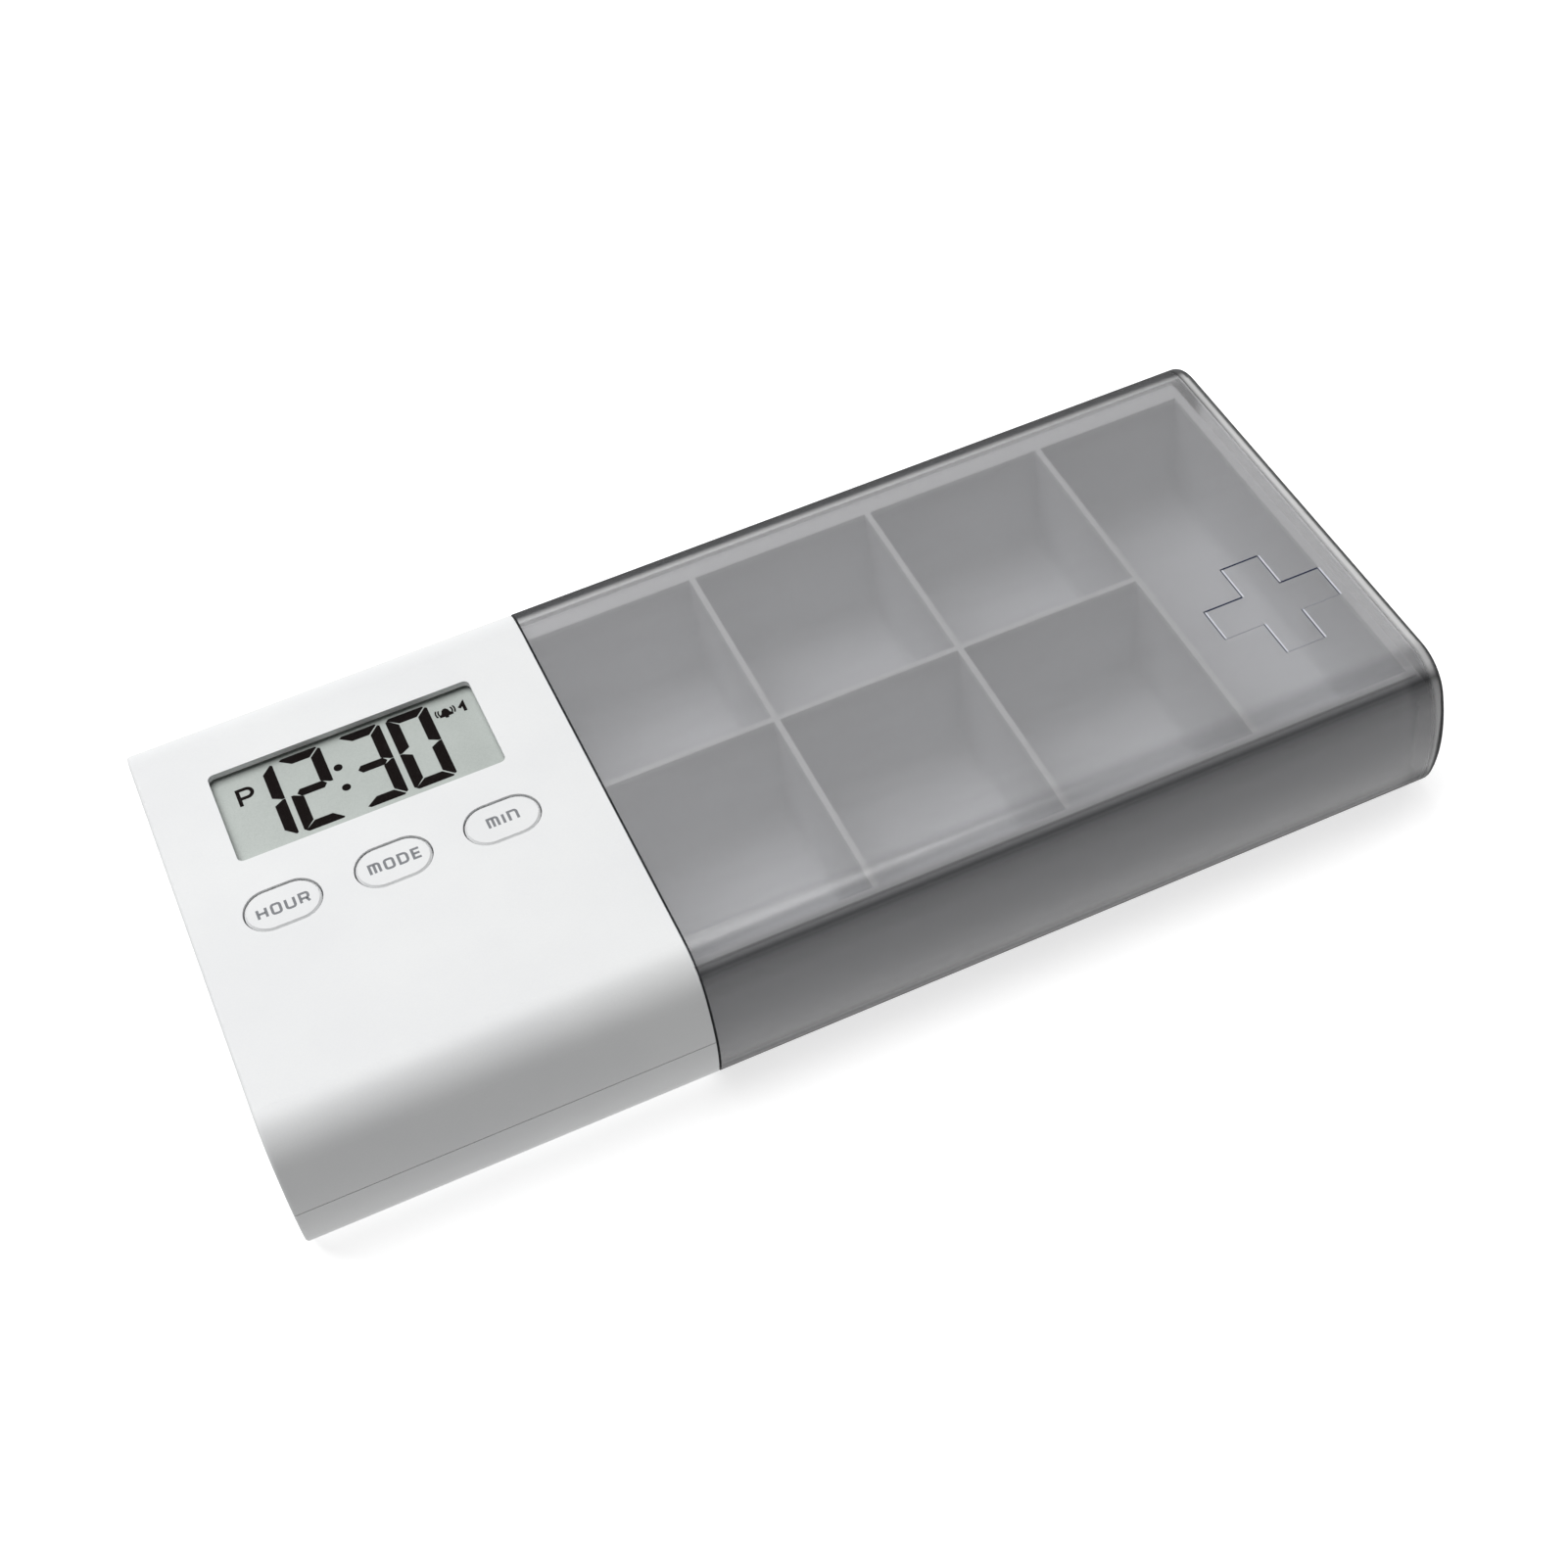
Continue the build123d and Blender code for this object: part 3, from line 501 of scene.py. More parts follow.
@dataclass(frozen=True)
class LayeredRubber(Finish):
    """Rubber made of thin conducting and insulating layers along X."""

    bloom: str = "#D8D2CE"
    pitch: float = 0.0004

    def sockets(self, graph: Graph) -> Sockets:
        """Give the shader's inputs."""
        x, _, _ = graph.axes()
        layers = abs(((x / self.pitch) % 1.0) - 0.5).rise(0.2, 0.3)
        bloom = graph.noise(0.0012, 3.0)
        colour = graph.mix(layers, self.colour, self.shade)
        return {
            "Base Color": graph.mix(bloom * 0.2, colour, self.bloom),
            "Roughness": graph.uneven(0.7, 0.2, bloom),
            "Normal": graph.bump(layers, 0.00002),
        }


@dataclass(frozen=True)
class Ink(Finish):
    """Printed or driven marks, or painted shade and highlight, with a slightly uneven body."""

    roughness: float

    def sockets(self, graph: Graph) -> Sockets:
        """Give the shader's inputs."""
        grain = graph.noise(0.00012, 3.0)
        return {
            "Base Color": graph.mix(grain.rise(0.3, 0.7), self.shade, self.colour),
            "Roughness": graph.uneven(self.roughness, 0.15, grain),
            "Specular IOR Level": 0.0,
            "Normal": graph.bump(grain, 0.000002),
        }


class Lay(Enum):
    """The direction in which a metal was rolled or turned, as scales along X, Y and Z."""

    ALONG_X = (0.06, 1.0, 1.0)
    ALONG_Y = (1.0, 0.06, 1.0)
    TURNED = (1.0, 1.0, 0.4)


@dataclass(frozen=True)
class WorkedMetal(Finish):
    """Plated or rolled metal with fine lines along its lay and a faint tarnish as its shade."""

    lay: Lay
    roughness: float

    def sockets(self, graph: Graph) -> Sockets:
        """Give the shader's inputs."""
        lines = graph.noise(0.00018, 4.0, graph.stretched(self.lay.value))
        stain = graph.noise(0.0022, 4.0).rise(0.48, 0.78)
        return {
            "Base Color": graph.mix(stain * 0.6, self.colour, self.shade),
            "Metallic": 1.0,
            "Roughness": graph.uneven(self.roughness, 0.2, lines) + stain * 0.12,
            "Normal": graph.bump(lines, 0.0000025),
        }


@dataclass(frozen=True)
class CellJacket(Finish):
    """Printed jacket of a dry cell, with a band by its tip and bare metal at both ends.

    The tip and the back are places along Y. The rest are shares of the way from back to tip.
    """

    tip: float
    back: float
    line: str = "#E9E9E6"
    metal: str = "#C9CBCD"
    band_start: Point = (0.695, 0.70)
    line_span: Point = (0.665, 0.680)
    jacket_span: Point = (0.02, 0.965)
    soft: float = 0.002

    def sockets(self, graph: Graph) -> Sockets:
        """Give the shader's inputs."""
        _, y, _ = graph.axes()
        along = (y - self.back) / (self.tip - self.back)
        band = along.rise(*self.band_start)
        line = along.within(*self.line_span, self.soft)
        bare = 1 - along.within(*self.jacket_span, self.soft)
        scuff = graph.noise(0.0006, 4.0, graph.stretched((1.0, 0.2, 1.0)))
        print_colour = graph.mix(line, graph.mix(band, self.colour, self.shade), self.line)
        return {
            "Base Color": graph.mix(bare, print_colour, self.metal),
            "Metallic": bare.most(band * 0.55),
            "Roughness": graph.uneven(0.30, 0.25, scuff),
            "Coat Weight": 0.3,
            "Normal": graph.bump(scuff, 0.000003),
        }


@dataclass(frozen=True)
class BoardLaminate(Finish):
    """Solder mask over copper tracks, which run along and across the board."""

    weave: str = "#0F2B17"
    pitch: float = 0.00254
    track_edge: Point = (0.08, 0.12)
    along_choice: Point = (0.49, 0.51)
    across_choice: Point = (0.42, 0.44)

    def sockets(self, graph: Graph) -> Sockets:
        """Give the shader's inputs."""
        x, y, _ = graph.axes()
        choice = graph.noise(0.009, 0.0)
        along = self._lines(y) * choice.rise(*self.along_choice)
        tracks = along.most(self._lines(x) * (1 - choice.rise(*self.across_choice)))
        weave = graph.noise(0.0005, 2.0)
        colour = graph.mix(tracks, self.colour, self.shade)
        return {
            "Base Color": graph.mix(weave * 0.25, colour, self.weave),
            "Roughness": graph.uneven(0.32, 0.1, weave),
            "Normal": graph.bump(tracks + weave * 0.2, 0.00003),
        }

    def _lines(self, place: Number) -> Number:
        """Give even lines, one to each pitch."""
        return 1 - abs(((place / self.pitch) % 1.0) - 0.5).rise(*self.track_edge)


@dataclass(frozen=True)
class DoorPlastic(Finish):
    """The case's plastic with a sunk arrow, sized in metres, the way that the door slides."""

    arrow_x: float = -0.0605
    arrow_length: float = 0.0042
    arrow_half_width: float = 0.0030
    arrow_tint: str = "#8C8E91"
    soft: float = 0.00006
    skin: Point = (0.0002, 0.0003)

    def sockets(self, graph: Graph) -> Sockets:
        """Give the shader's inputs."""
        x, y, z = graph.axes()
        inward = x - self.arrow_x
        slope = inward * (self.arrow_half_width / self.arrow_length)
        inside = (slope - abs(y)).rise(0.0, self.soft)
        inside = inside * (1 - (inward - self.arrow_length).rise(0.0, self.soft))
        arrow = inside * (1 - z.rise(*self.skin))
        flow = graph.noise(graph.flow_pitch, 4.0).rise(0.25, 0.75)
        speck = graph.noise(0.00022, 2.0)
        colour = graph.mix(flow, self.shade, self.colour)
        return {
            "Base Color": graph.mix(arrow * 0.35, colour, self.arrow_tint),
            "Roughness": graph.uneven(0.42, 0.1),
            "Normal": graph.bump(speck * 0.02 - arrow, 0.0002),
        }


def dress(finish: Finish, *names: str) -> Material:
    """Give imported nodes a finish, report them and give back its material."""
    material = finish.material()
    for name in names:
        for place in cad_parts[name].material_slots:
            place.material = material
        log.info("dressed %s in %s", name, material.name)
    return material


def show(name: str, data: bpy.types.ID) -> bpy.types.Object:
    """Put an object with its data into the scene."""
    made = bpy.data.objects.new(name, data)
    bpy.context.scene.collection.objects.link(made)
    return made


def solid(name: str, mesh: Mesh, material: Material) -> bpy.types.Object:
    """Turn a worked mesh into an object of the scene, and free it."""
    data = bpy.data.meshes.new(name)
    mesh.to_mesh(data)
    mesh.free()
    data.materials.append(material)
    return show(name, data)


def piece(name: str, mesh: Mesh, material: Material, body: str) -> bpy.types.Object:
    """Turn a worked mesh into a piece that rides on a body.

    Args:
        name: The piece's own name.
        mesh: Its shape in the part's axes. It is freed here.
        material: Its finish.
        body: The body that it moves with.

    Returns:
        The new piece.
    """
    bmesh.ops.recalc_face_normals(mesh, faces=mesh.faces)
    made = solid(name, mesh, material)
    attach(made, body)
    log.info("built %s with %d faces", name, len(made.data.polygons))
    return made


def scaled(outline: Iterable[Point]) -> list[Point]:
    """Turn an outline in millimetres into metres."""
    return [(x * MM, y * MM) for x, y in outline]


def arc(centre: Point, radius: float, start: float, end: float, steps: int) -> list[Point]:
    """Give points along an arc, from one angle to another in degrees."""
    turns = [math.radians(start + (end - start) * step / steps) for step in range(steps + 1)]
    x, y = centre
    return [(x + radius * math.cos(turn), y + radius * math.sin(turn)) for turn in turns]


def add_loop(mesh: Mesh, outline: Iterable[Point], height: float) -> Vertices:
    """Add the points of an outline at one height."""
    return [mesh.verts.new((x, y, height)) for x, y in outline]


def add_sides(mesh: Mesh, first: Vertices, second: Vertices) -> None:
    """Join two loops of points with a band of faces."""
    for index in range(len(first)):
        after = (index + 1) % len(first)
        mesh.faces.new((first[index], first[after], second[after], second[index]))


def add_plate(mesh: Mesh, outline: Sequence[Point], low: float, high: float) -> None:
    """Add a flat plate with a plain outline between two heights."""
    bottom, top = add_loop(mesh, outline, low), add_loop(mesh, outline, high)
    mesh.faces.new(top)
    mesh.faces.new(list(reversed(bottom)))
    add_sides(mesh, bottom, top)


def add_ribbon(
    mesh: Mesh,
    line: Sequence[Point],
    width: float,
    low: float,
    high: float,
    closed: bool = False,
) -> None:
    """Add a raised stroke of even width along a line.

    Args:
        mesh: The mesh that takes it.
        line: The points of its middle line.
        width: Its width.
        low: The height of its underside.
        high: The height of its top.
        closed: Whether its end joins its start.
    """
    sharpest = 0.35
    points = [Vector(point) for point in line]
    ways = [(end - start).normalized() for start, end in zip(points, points[1:] + points[:1])]
    if not closed:
        ways[-1] = ways[-2]
    rings = []
    for index, point in enumerate(points):
        out = ways[index]
        into = ways[index - 1] if closed or index > 0 else out
        side = Vector((-(into.y + out.y), into.x + out.x)).normalized()
        aside = side * (width / 2 / max(sharpest, side.dot(Vector((-into.y, into.x)))))
        left, right = point + aside, point - aside
        corners = ((left, low), (right, low), (right, high), (left, high))
        rings.append([mesh.verts.new((*place, height)) for place, height in corners])
    run = rings + rings[:1] if closed else rings
    for here, there in zip(run, run[1:]):
        add_sides(mesh, here, there)
    if not closed:
        mesh.faces.new(rings[0])
        mesh.faces.new(list(reversed(rings[-1])))


class Bar(Enum):
    """The seven bars of a display figure."""

    TOP = "top"
    UPPER_RIGHT = "upper right"
    LOWER_RIGHT = "lower right"
    BOTTOM = "bottom"
    LOWER_LEFT = "lower left"
    UPPER_LEFT = "upper left"
    MIDDLE = "middle"


FIGURES: dict[str, tuple[Bar, ...]] = {
    "0": (Bar.TOP, Bar.UPPER_RIGHT, Bar.LOWER_RIGHT, Bar.BOTTOM, Bar.LOWER_LEFT, Bar.UPPER_LEFT),
    "1": (Bar.UPPER_RIGHT, Bar.LOWER_RIGHT),
    "2": (Bar.TOP, Bar.UPPER_RIGHT, Bar.MIDDLE, Bar.LOWER_LEFT, Bar.BOTTOM),
    "3": (Bar.TOP, Bar.UPPER_RIGHT, Bar.MIDDLE, Bar.LOWER_RIGHT, Bar.BOTTOM),
}


@dataclass
class Display:
    """The recessed display: window, glass, figures, signs, frame and contact strip.

    Its lengths are in millimetres. The time's figures have their left and right sides, the
    bell's side is drawn from its middle, and a ray has its radius and half its angle.
    """

    time: tuple[tuple[str, float, float], ...] = (
        ("1", -65.70, -58.64),
        ("2", -57.92, -52.38),
        ("3", -49.97, -44.50),
        ("0", -43.72, -38.18),
    )
    figure_bottom: float = 9.21
    figure_top: float = 22.13
    upright: float = 1.50
    level: float = 1.36
    crossbar: float = 1.20
    gap: float = 0.05
    corner: float = 0.42
    mitre_share: float = 0.62
    mitre_drop: float = 0.65
    heel: float = 0.35
    notch: float = 0.72
    step: float = 0.18
    shoulder: float = 0.12
    crossbar_end: float = 0.84
    crossbar_slope: float = 0.46
    colon_x: float = -51.27
    colon_rows: Point = (13.77, 17.37)
    colon_radius: float = 0.56
    sign_left: float = -63.82
    sign_foot: float = 16.96
    sign_waist: float = 18.16
    sign_head: float = 19.61
    sign_bowl: float = -62.76
    sign_overlap: float = 0.17
    sign_stroke: float = 0.48
    bell: Point = (-36.31, 19.63)
    bell_side: tuple[Point, ...] = (
        (0.16, 0.78),
        (0.42, 0.52),
        (0.55, 0.05),
        (0.90, -0.38),
        (0.90, -0.55),
        (0.26, -0.58),
        (0.20, -0.84),
    )
    bell_rays: tuple[Point, ...] = ((0.92, 32), (1.26, 28))
    ray_lift: float = 0.22
    ray_stroke: float = 0.20
    count_line: tuple[Point, ...] = ((-34.50, 19.59), (-33.87, 20.27), (-33.87, 18.81))
    count_stroke: float = 0.42
    film: float = 0.03

    def build(self) -> None:
        """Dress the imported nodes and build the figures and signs."""
        dress(CrystalPanel("panel_glass", "#B8BEBA", "#ACB2AE"), "display_glass")
        dress(ClearPlastic("window_sheet", "#F4F7F6", "#FFFFFF", 0.003), "display_window")
        dress(MouldedPlastic("frame_plastic", "#F0F0EE", "#E6E6E3", 0.5), "display_frame")
        dress(LayeredRubber("strip_rubber", "#C98F86", "#3A3432"), "display_contact_strip")
        ink = Ink("figure_ink", "#150E0D", "#0F0A0A", roughness=0.4).material()
        self._build_time(ink)
        self._build_signs(ink)

    def _heights(self) -> Point:
        """Give the heights between which the figures lie, in metres."""
        _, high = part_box("display_glass")
        return high.z, high.z + self.film * MM

    def _bar(self, bar: Bar, left: float, right: float) -> list[Point]:
        """Give one bar's outline in millimetres, for a figure between two sides."""
        bottom, top = self.figure_bottom, self.figure_top
        middle = (bottom + top) / 2
        mitre = self.corner * self.mitre_share
        upper_side = [
            (right, top - self.corner - self.gap),
            (right, middle + self.gap),
            (right - self.heel, middle + self.gap),
            (right - self.upright, middle + self.notch),
            (right - self.upright, top - self.level - self.step),
            (right - mitre, top - mitre - self.gap),
        ]
        level_bar = [
            (left + self.corner + self.shoulder, top),
            (right - self.corner - self.shoulder, top),
            (right - self.corner + self.gap / 2, top - mitre * self.mitre_drop),
            (right - self.upright - self.shoulder, top - self.level),
            (left + self.upright + self.shoulder, top - self.level),
            (left + self.corner / 2, top - mitre),
        ]
        half = self.crossbar / 2
        end, bend = self.crossbar_end, self.crossbar_end + self.crossbar_slope
        crossbar = [
            (left + end, middle),
            (left + bend, middle + half),
            (right - bend, middle + half),
            (right - end, middle),
            (right - bend, middle - half),
            (left + bend, middle - half),
        ]
        across = left + right
        upward = bottom + top
        shapes = {
            Bar.TOP: level_bar,
            Bar.UPPER_RIGHT: upper_side,
            Bar.MIDDLE: crossbar,
            Bar.LOWER_RIGHT: [(x, upward - y) for x, y in reversed(upper_side)],
            Bar.BOTTOM: [(x, upward - y) for x, y in reversed(level_bar)],
            Bar.UPPER_LEFT: [(across - x, y) for x, y in reversed(upper_side)],
            Bar.LOWER_LEFT: [(across - x, upward - y) for x, y in upper_side],
        }
        return shapes[bar]

    def _build_time(self, ink: Material) -> None:
        """Build the four figures and the colon between them."""
        mesh = bmesh.new()
        for figure, left, right in self.time:
            for bar in FIGURES[figure]:
                add_plate(mesh, scaled(self._bar(bar, left, right)), *self._heights())
        for row in self.colon_rows:
            dot = arc((self.colon_x, row), self.colon_radius, 0, 345, 23)
            add_plate(mesh, scaled(dot), *self._heights())
        piece("display_figures", mesh, ink, "module")

    def _build_signs(self, ink: Material) -> None:
        """Build the afternoon sign, the bell and the small figure beside it."""
        mesh = bmesh.new()
        left, waist, head = self.sign_left, self.sign_waist, self.sign_head
        radius = (head - waist) / 2
        bowl = arc((self.sign_bowl, waist + radius), radius, 90, -90, 10)
        line = [(left, self.sign_foot), (left, head)] + bowl + [(left + self.sign_overlap, waist)]
        add_ribbon(mesh, scaled(line), self.sign_stroke * MM, *self._heights())
        x, y = self.bell
        bell = [(x + dx, y + dy) for dx, dy in self.bell_side]
        bell += [(x - dx, y + dy) for dx, dy in reversed(self.bell_side)]
        add_plate(mesh, scaled(bell), *self._heights())
        for radius, reach in self.bell_rays:
            for side in (0, 180):
                ray = arc((x, y + self.ray_lift), radius, side - reach, side + reach, 7)
                add_ribbon(mesh, scaled(ray), self.ray_stroke * MM, *self._heights())
        add_ribbon(mesh, scaled(self.count_line), self.count_stroke * MM, *self._heights())
        piece("display_signs", mesh, ink, "module")


@dataclass(frozen=True)
class Stroke:
    """One pen stroke of a letter that is one unit high.

    A corner is a place along and up the letter, and a third number is how far it is rounded.
    """

    corners: tuple[tuple[float, ...], ...]
    closed: bool = False

    def line(self, steps: int = 5) -> list[Point]:
        """Give the stroke's middle line, with its rounded corners as curves."""
        points: list[Point] = []
        count = len(self.corners)
        for index, (x, y, *rounding) in enumerate(self.corners):
            if not rounding:
                points.append((x, y))
                continue
            here = Vector((x, y))
            before = Vector(self.corners[(index - 1) % count][:2])
            after = Vector(self.corners[(index + 1) % count][:2])
            start = here + (before - here).normalized() * rounding[0]
            end = here + (after - here).normalized() * rounding[0]
            for step in range(steps + 1):
                share = step / steps
                place = start.lerp(here, share).lerp(here.lerp(end, share), share)
                points.append((place.x, place.y))
        return points


@dataclass(frozen=True)
class Letter:
    """One squarish letter: its width and its strokes."""

    width: float
    strokes: tuple[Stroke, ...]


def square_letters() -> dict[str, Letter]:
    """Give the letters of the keys' words, which are wide and have rounded corners."""
    wide, full, slim = 0.71, 0.83, 0.62
    bend, round_bend = 0.24, 0.34
    bar_start, bar_height = 0.09, 0.5
    bowl_foot = 0.44
    stem = Stroke(((0, 0), (0, 1)))
    far_stem = Stroke(((wide, 0), (wide, 1)))
    bar = Stroke(((bar_start, bar_height), (wide - bar_start, bar_height)))
    arch = Stroke(((0, 0), (0, 1), (full, 1, bend), (full, 0)))
    short_bar = Stroke(((bar_start, bar_height), (slim - 0.04, bar_height)))
    ring = ((0, 0, bend), (0, 1, bend), (wide, 1, bend), (wide, 0, bend))
    bowl = ((0, 0), (0, 1), (wide, 1, bend), (wide, bowl_foot, bend), (bar_start, bowl_foot))
    belly = ((0, 0), (0, 1), (wide, 1, round_bend), (wide, 0, round_bend))
    return {
        "H": Letter(wide, (stem, far_stem, bar)),
        "O": Letter(wide, (Stroke(ring, closed=True),)),
        "U": Letter(wide, (Stroke(((0, 1), (0, 0, bend), (wide, 0, bend), (wide, 1))),)),
        "R": Letter(wide, (Stroke(bowl), Stroke(((0.52, 0.40), (wide, 0))))),
        "M": Letter(full, (arch, Stroke(((full / 2, 0), (full / 2, 0.92))))),
        "D": Letter(wide, (Stroke(belly, closed=True),)),
        "E": Letter(slim, (Stroke(((slim, 1), (0, 1), (0, 0), (slim, 0))), short_bar)),
        "I": Letter(0, (stem,)),
        "N": Letter(wide, (Stroke(((0, 0), (0, 1), (wide, 1, bend), (wide, 0))),)),
    }


@dataclass
class Keys:
    """The three keys: caps with a printed word, switches and plungers.

    Its lengths are in millimetres, and each key's word has the place of its middle.
    """

    words: tuple[tuple[str, str, Point], ...] = (
        ("hour", "HOUR", (-63.55, -1.62)),
        ("mode", "MODE", (-49.52, -1.45)),
        ("min", "MIN", (-35.75, -1.38)),
    )
    letter_height: float = 1.44
    stroke: float = 0.34
    letter_gap: float = 0.72
    film: float = 0.012

    def build(self) -> None:
        """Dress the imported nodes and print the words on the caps."""
        cap = MouldedPlastic("key_plastic", "#E6E7E7", "#E0E1E2", roughness=0.40)
        body = MouldedPlastic("switch_plastic", "#26272A", "#1B1C1E", roughness=0.45)
        post = MouldedPlastic("plunger_plastic", "#48494D", "#3B3C3F", roughness=0.5)
        for finish, kind in ((cap, "button"), (body, "switch"), (post, "plunger")):
            dress(finish, *(f"{key}_{kind}" for key, _, _ in self.words))
        ink = Ink("word_ink", "#8B8D90", "#808286", roughness=0.55).material()
        letters = square_letters()
        for key, word, middle in self.words:
            self._print_word(key, [letters[letter] for letter in word], middle, ink)

    def _print_word(self, key: str, word: Sequence[Letter], middle: Point, ink: Material) -> None:
        """Print one word on its key's cap.

        Args:
            key: The key's name.
            word: The word's letters.
            middle: The place of the word's middle along X and Y, in millimetres.
            ink: Its finish.
        """
        _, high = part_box(f"{key}_button")
        scale = self.letter_height
        length = sum(letter.width for letter in word) * scale + self.letter_gap * (len(word) - 1)
        cursor, foot = middle[0] - length / 2, middle[1] - scale / 2
        mesh = bmesh.new()
        base = high.z - self.film * MM / 2
        for letter in word:
            for stroke in letter.strokes:
                line = [(cursor + x * scale, foot + y * scale) for x, y in stroke.line()]
                width, top = self.stroke * MM, base + self.film * MM
                add_ribbon(mesh, scaled(line), width, base, top, stroke.closed)
            cursor += letter.width * scale + self.letter_gap
        piece(f"{key}_word", mesh, ink, f"{key}_key")


@dataclass
class TimerCase:
    """The timer's shells, its battery door and the screws that close it.

    The screws' lengths are in millimetres.
    """

    head_radius: float = 1.8
    head_height: float = 1.5
    crown: float = 0.35
    crown_bend: float = 0.3
    recess_reach: float = 1.05
    recess_half_width: float = 0.24
    recess_depth: float = 0.8
    recess_taper: float = 0.8
    shank_radius: float = 1.15
    tip_share: float = 0.35
    thread_pitch: float = 0.8
    thread_depth: float = 0.16
    sides: int = 36

    def build(self) -> None:
        """Dress the shells and the door, and build the screws."""
        shell = MouldedPlastic("shell_plastic", "#E7E8E8", "#E1E2E3", roughness=0.40)
        dress(shell, "module_top_shell", "module_bottom_shell")
        dress(DoorPlastic("door_plastic", "#E7E8E8", "#E1E2E3"), "battery_door")
        zinc = WorkedMetal("screw_zinc", "#B9BCBF", "#8F9296", Lay.TURNED, roughness=0.32)
        self._build_screws(dress(zinc, "board_screws"))

    def _build_screws(self, zinc: Material) -> None:
        """Build the case screws with crowned heads and a cross recess."""
        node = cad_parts["case_screws"]
        low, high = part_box("case_screws")
        reach = self.head_radius * MM
        mesh = bmesh.new()
        for x in (low.x + reach, high.x - reach):
            for y in (low.y + reach, high.y - reach):
                self._add_screw(mesh, (x, y), low.z, high.z)
        screws = piece("case_screw_set", mesh, zinc, "module")
        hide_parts(node.name)

    def _add_screw(self, mesh: Mesh, centre: Point, low: float, high: float) -> None:
        """Add one screw that points up, with its head at the bottom.

        Args:
            mesh: The mesh that takes it.
            centre: The place of its axis.
            low: The height of its head's face.
            high: The height of its tip.
        """
        seat = low + self.head_height * MM
        bend = self.crown * self.crown_bend
        root = self.shank_radius - self.thread_depth
        profile = [
            (self.head_radius - self.crown, low),
            (self.head_radius - bend, low + bend * MM),
            (self.head_radius, low + self.crown * MM),
            (self.head_radius, seat),
            (root, seat),
        ]
        turns = int((high - seat) / (self.thread_pitch * MM))
        step = (high - seat) / turns
        for turn in range(turns):
            profile.append((self.shank_radius, seat + step * (turn + 0.5)))
            profile.append((root, seat + step * (turn + 1.0)))
        profile.append((self.shank_radius * self.tip_share, high))
        stop, steps = 360 - 360 / self.sides, self.sides - 1
        rings = [
            add_loop(mesh, arc(centre, radius * MM, 0, stop, steps), height)
            for radius, height in profile
        ]
        for first, second in zip(rings, rings[1:]):
            add_sides(mesh, first, second)
        mesh.faces.new(rings[-1])
        self._add_recess(mesh, centre, low, rings[0])

    def _add_recess(self, mesh: Mesh, centre: Point, low: float, rim: Vertices) -> None:
        """Close a screw's face round its cross recess, and line the recess."""
        x, y = centre
        cross = scaled(plus_corners(self.recess_half_width, self.recess_reach))
        foot = [(x + dx * self.recess_taper, y + dy * self.recess_taper) for dx, dy in cross]
        mouth = add_loop(mesh, [(x + dx, y + dy) for dx, dy in cross], low)
        floor = add_loop(mesh, foot, low + self.recess_depth * MM)
        add_sides(mesh, mouth, floor)
        mesh.faces.new(floor)
        sides = [*zip(rim, rim[1:] + rim[:1]), *zip(mouth, mouth[1:] + mouth[:1])]
        edges = [mesh.edges.get(side) for side in sides]
        bmesh.ops.triangle_fill(mesh, use_beauty=True, use_dissolve=False, edges=edges)


def plus_corners(half: float, arm: float) -> list[Point]:
    """Give the twelve corners of a plus, from half its arms' width and their reach.

    They run clockwise, from the inner corner between its right and upper arms.
    """
    quarter = [(half, half), (arm, half), (arm, -half)]
    corners: list[Point] = []
    for _ in range(4):
        corners += quarter
        quarter = [(y, -x) for x, y in quarter]
    return corners


@dataclass
class Electronics:
    """The board with its chip, crystal and capacitors, and the buzzer with its leads."""

    def build(self) -> None:
        """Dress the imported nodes."""
        dress(BoardLaminate("board_laminate", "#1F6236", "#3C8A52"), "circuit_board")
        resin = MouldedPlastic("chip_resin", "#1B1C1E", "#121315", 0.22, 0.08, 0.0006, 0.00001)
        dress(resin, "controller_chip")
        can = WorkedMetal("crystal_can", "#C9CBCE", "#9EA1A5", Lay.ALONG_X, roughness=0.25)
        dress(can, "timing_crystal")
        fired = MouldedPlastic("fired_ceramic", "#C2A983", "#A98F69", 0.55, 0.12, 0.0003)
        dress(fired, "chip_capacitors")
        disc = MouldedPlastic("buzzer_ceramic", "#D9D6CC", "#C8C4B7", 0.6, 0.1, 0.0004)
        dress(disc, "buzzer_ceramic")
        brass = WorkedMetal("buzzer_brass", "#C9A552", "#8F6E2E", Lay.ALONG_X, roughness=0.3)
        dress(brass, "buzzer_plate")
        dress(MouldedPlastic("lead_jacket", "#B5352C", "#9A2A22", 0.5, 0.1, 0.0005), "buzzer_leads")


@dataclass
class BatteryBay:
    """The two cells, each with its tip towards the far or the near side, and their contacts."""

    far_tip: str = "first_cell"
    near_tip: str = "second_cell"

    def build(self) -> None:
        """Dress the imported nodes, each cell with its tip the right way round."""
        for cell in (self.far_tip, self.near_tip):
            low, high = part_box(cell)
            back, tip = (low.y, high.y) if cell == self.far_tip else (high.y, low.y)
            dress(CellJacket(f"{cell}_jacket", "#2B3036", "#B98F3E", tip, back), cell)
        nickel = WorkedMetal("contact_nickel", "#D2D3D2", "#A9A69C", Lay.ALONG_Y, roughness=0.24)
        dress(nickel, "positive_terminal", "negative_terminal", "bridge_contact")


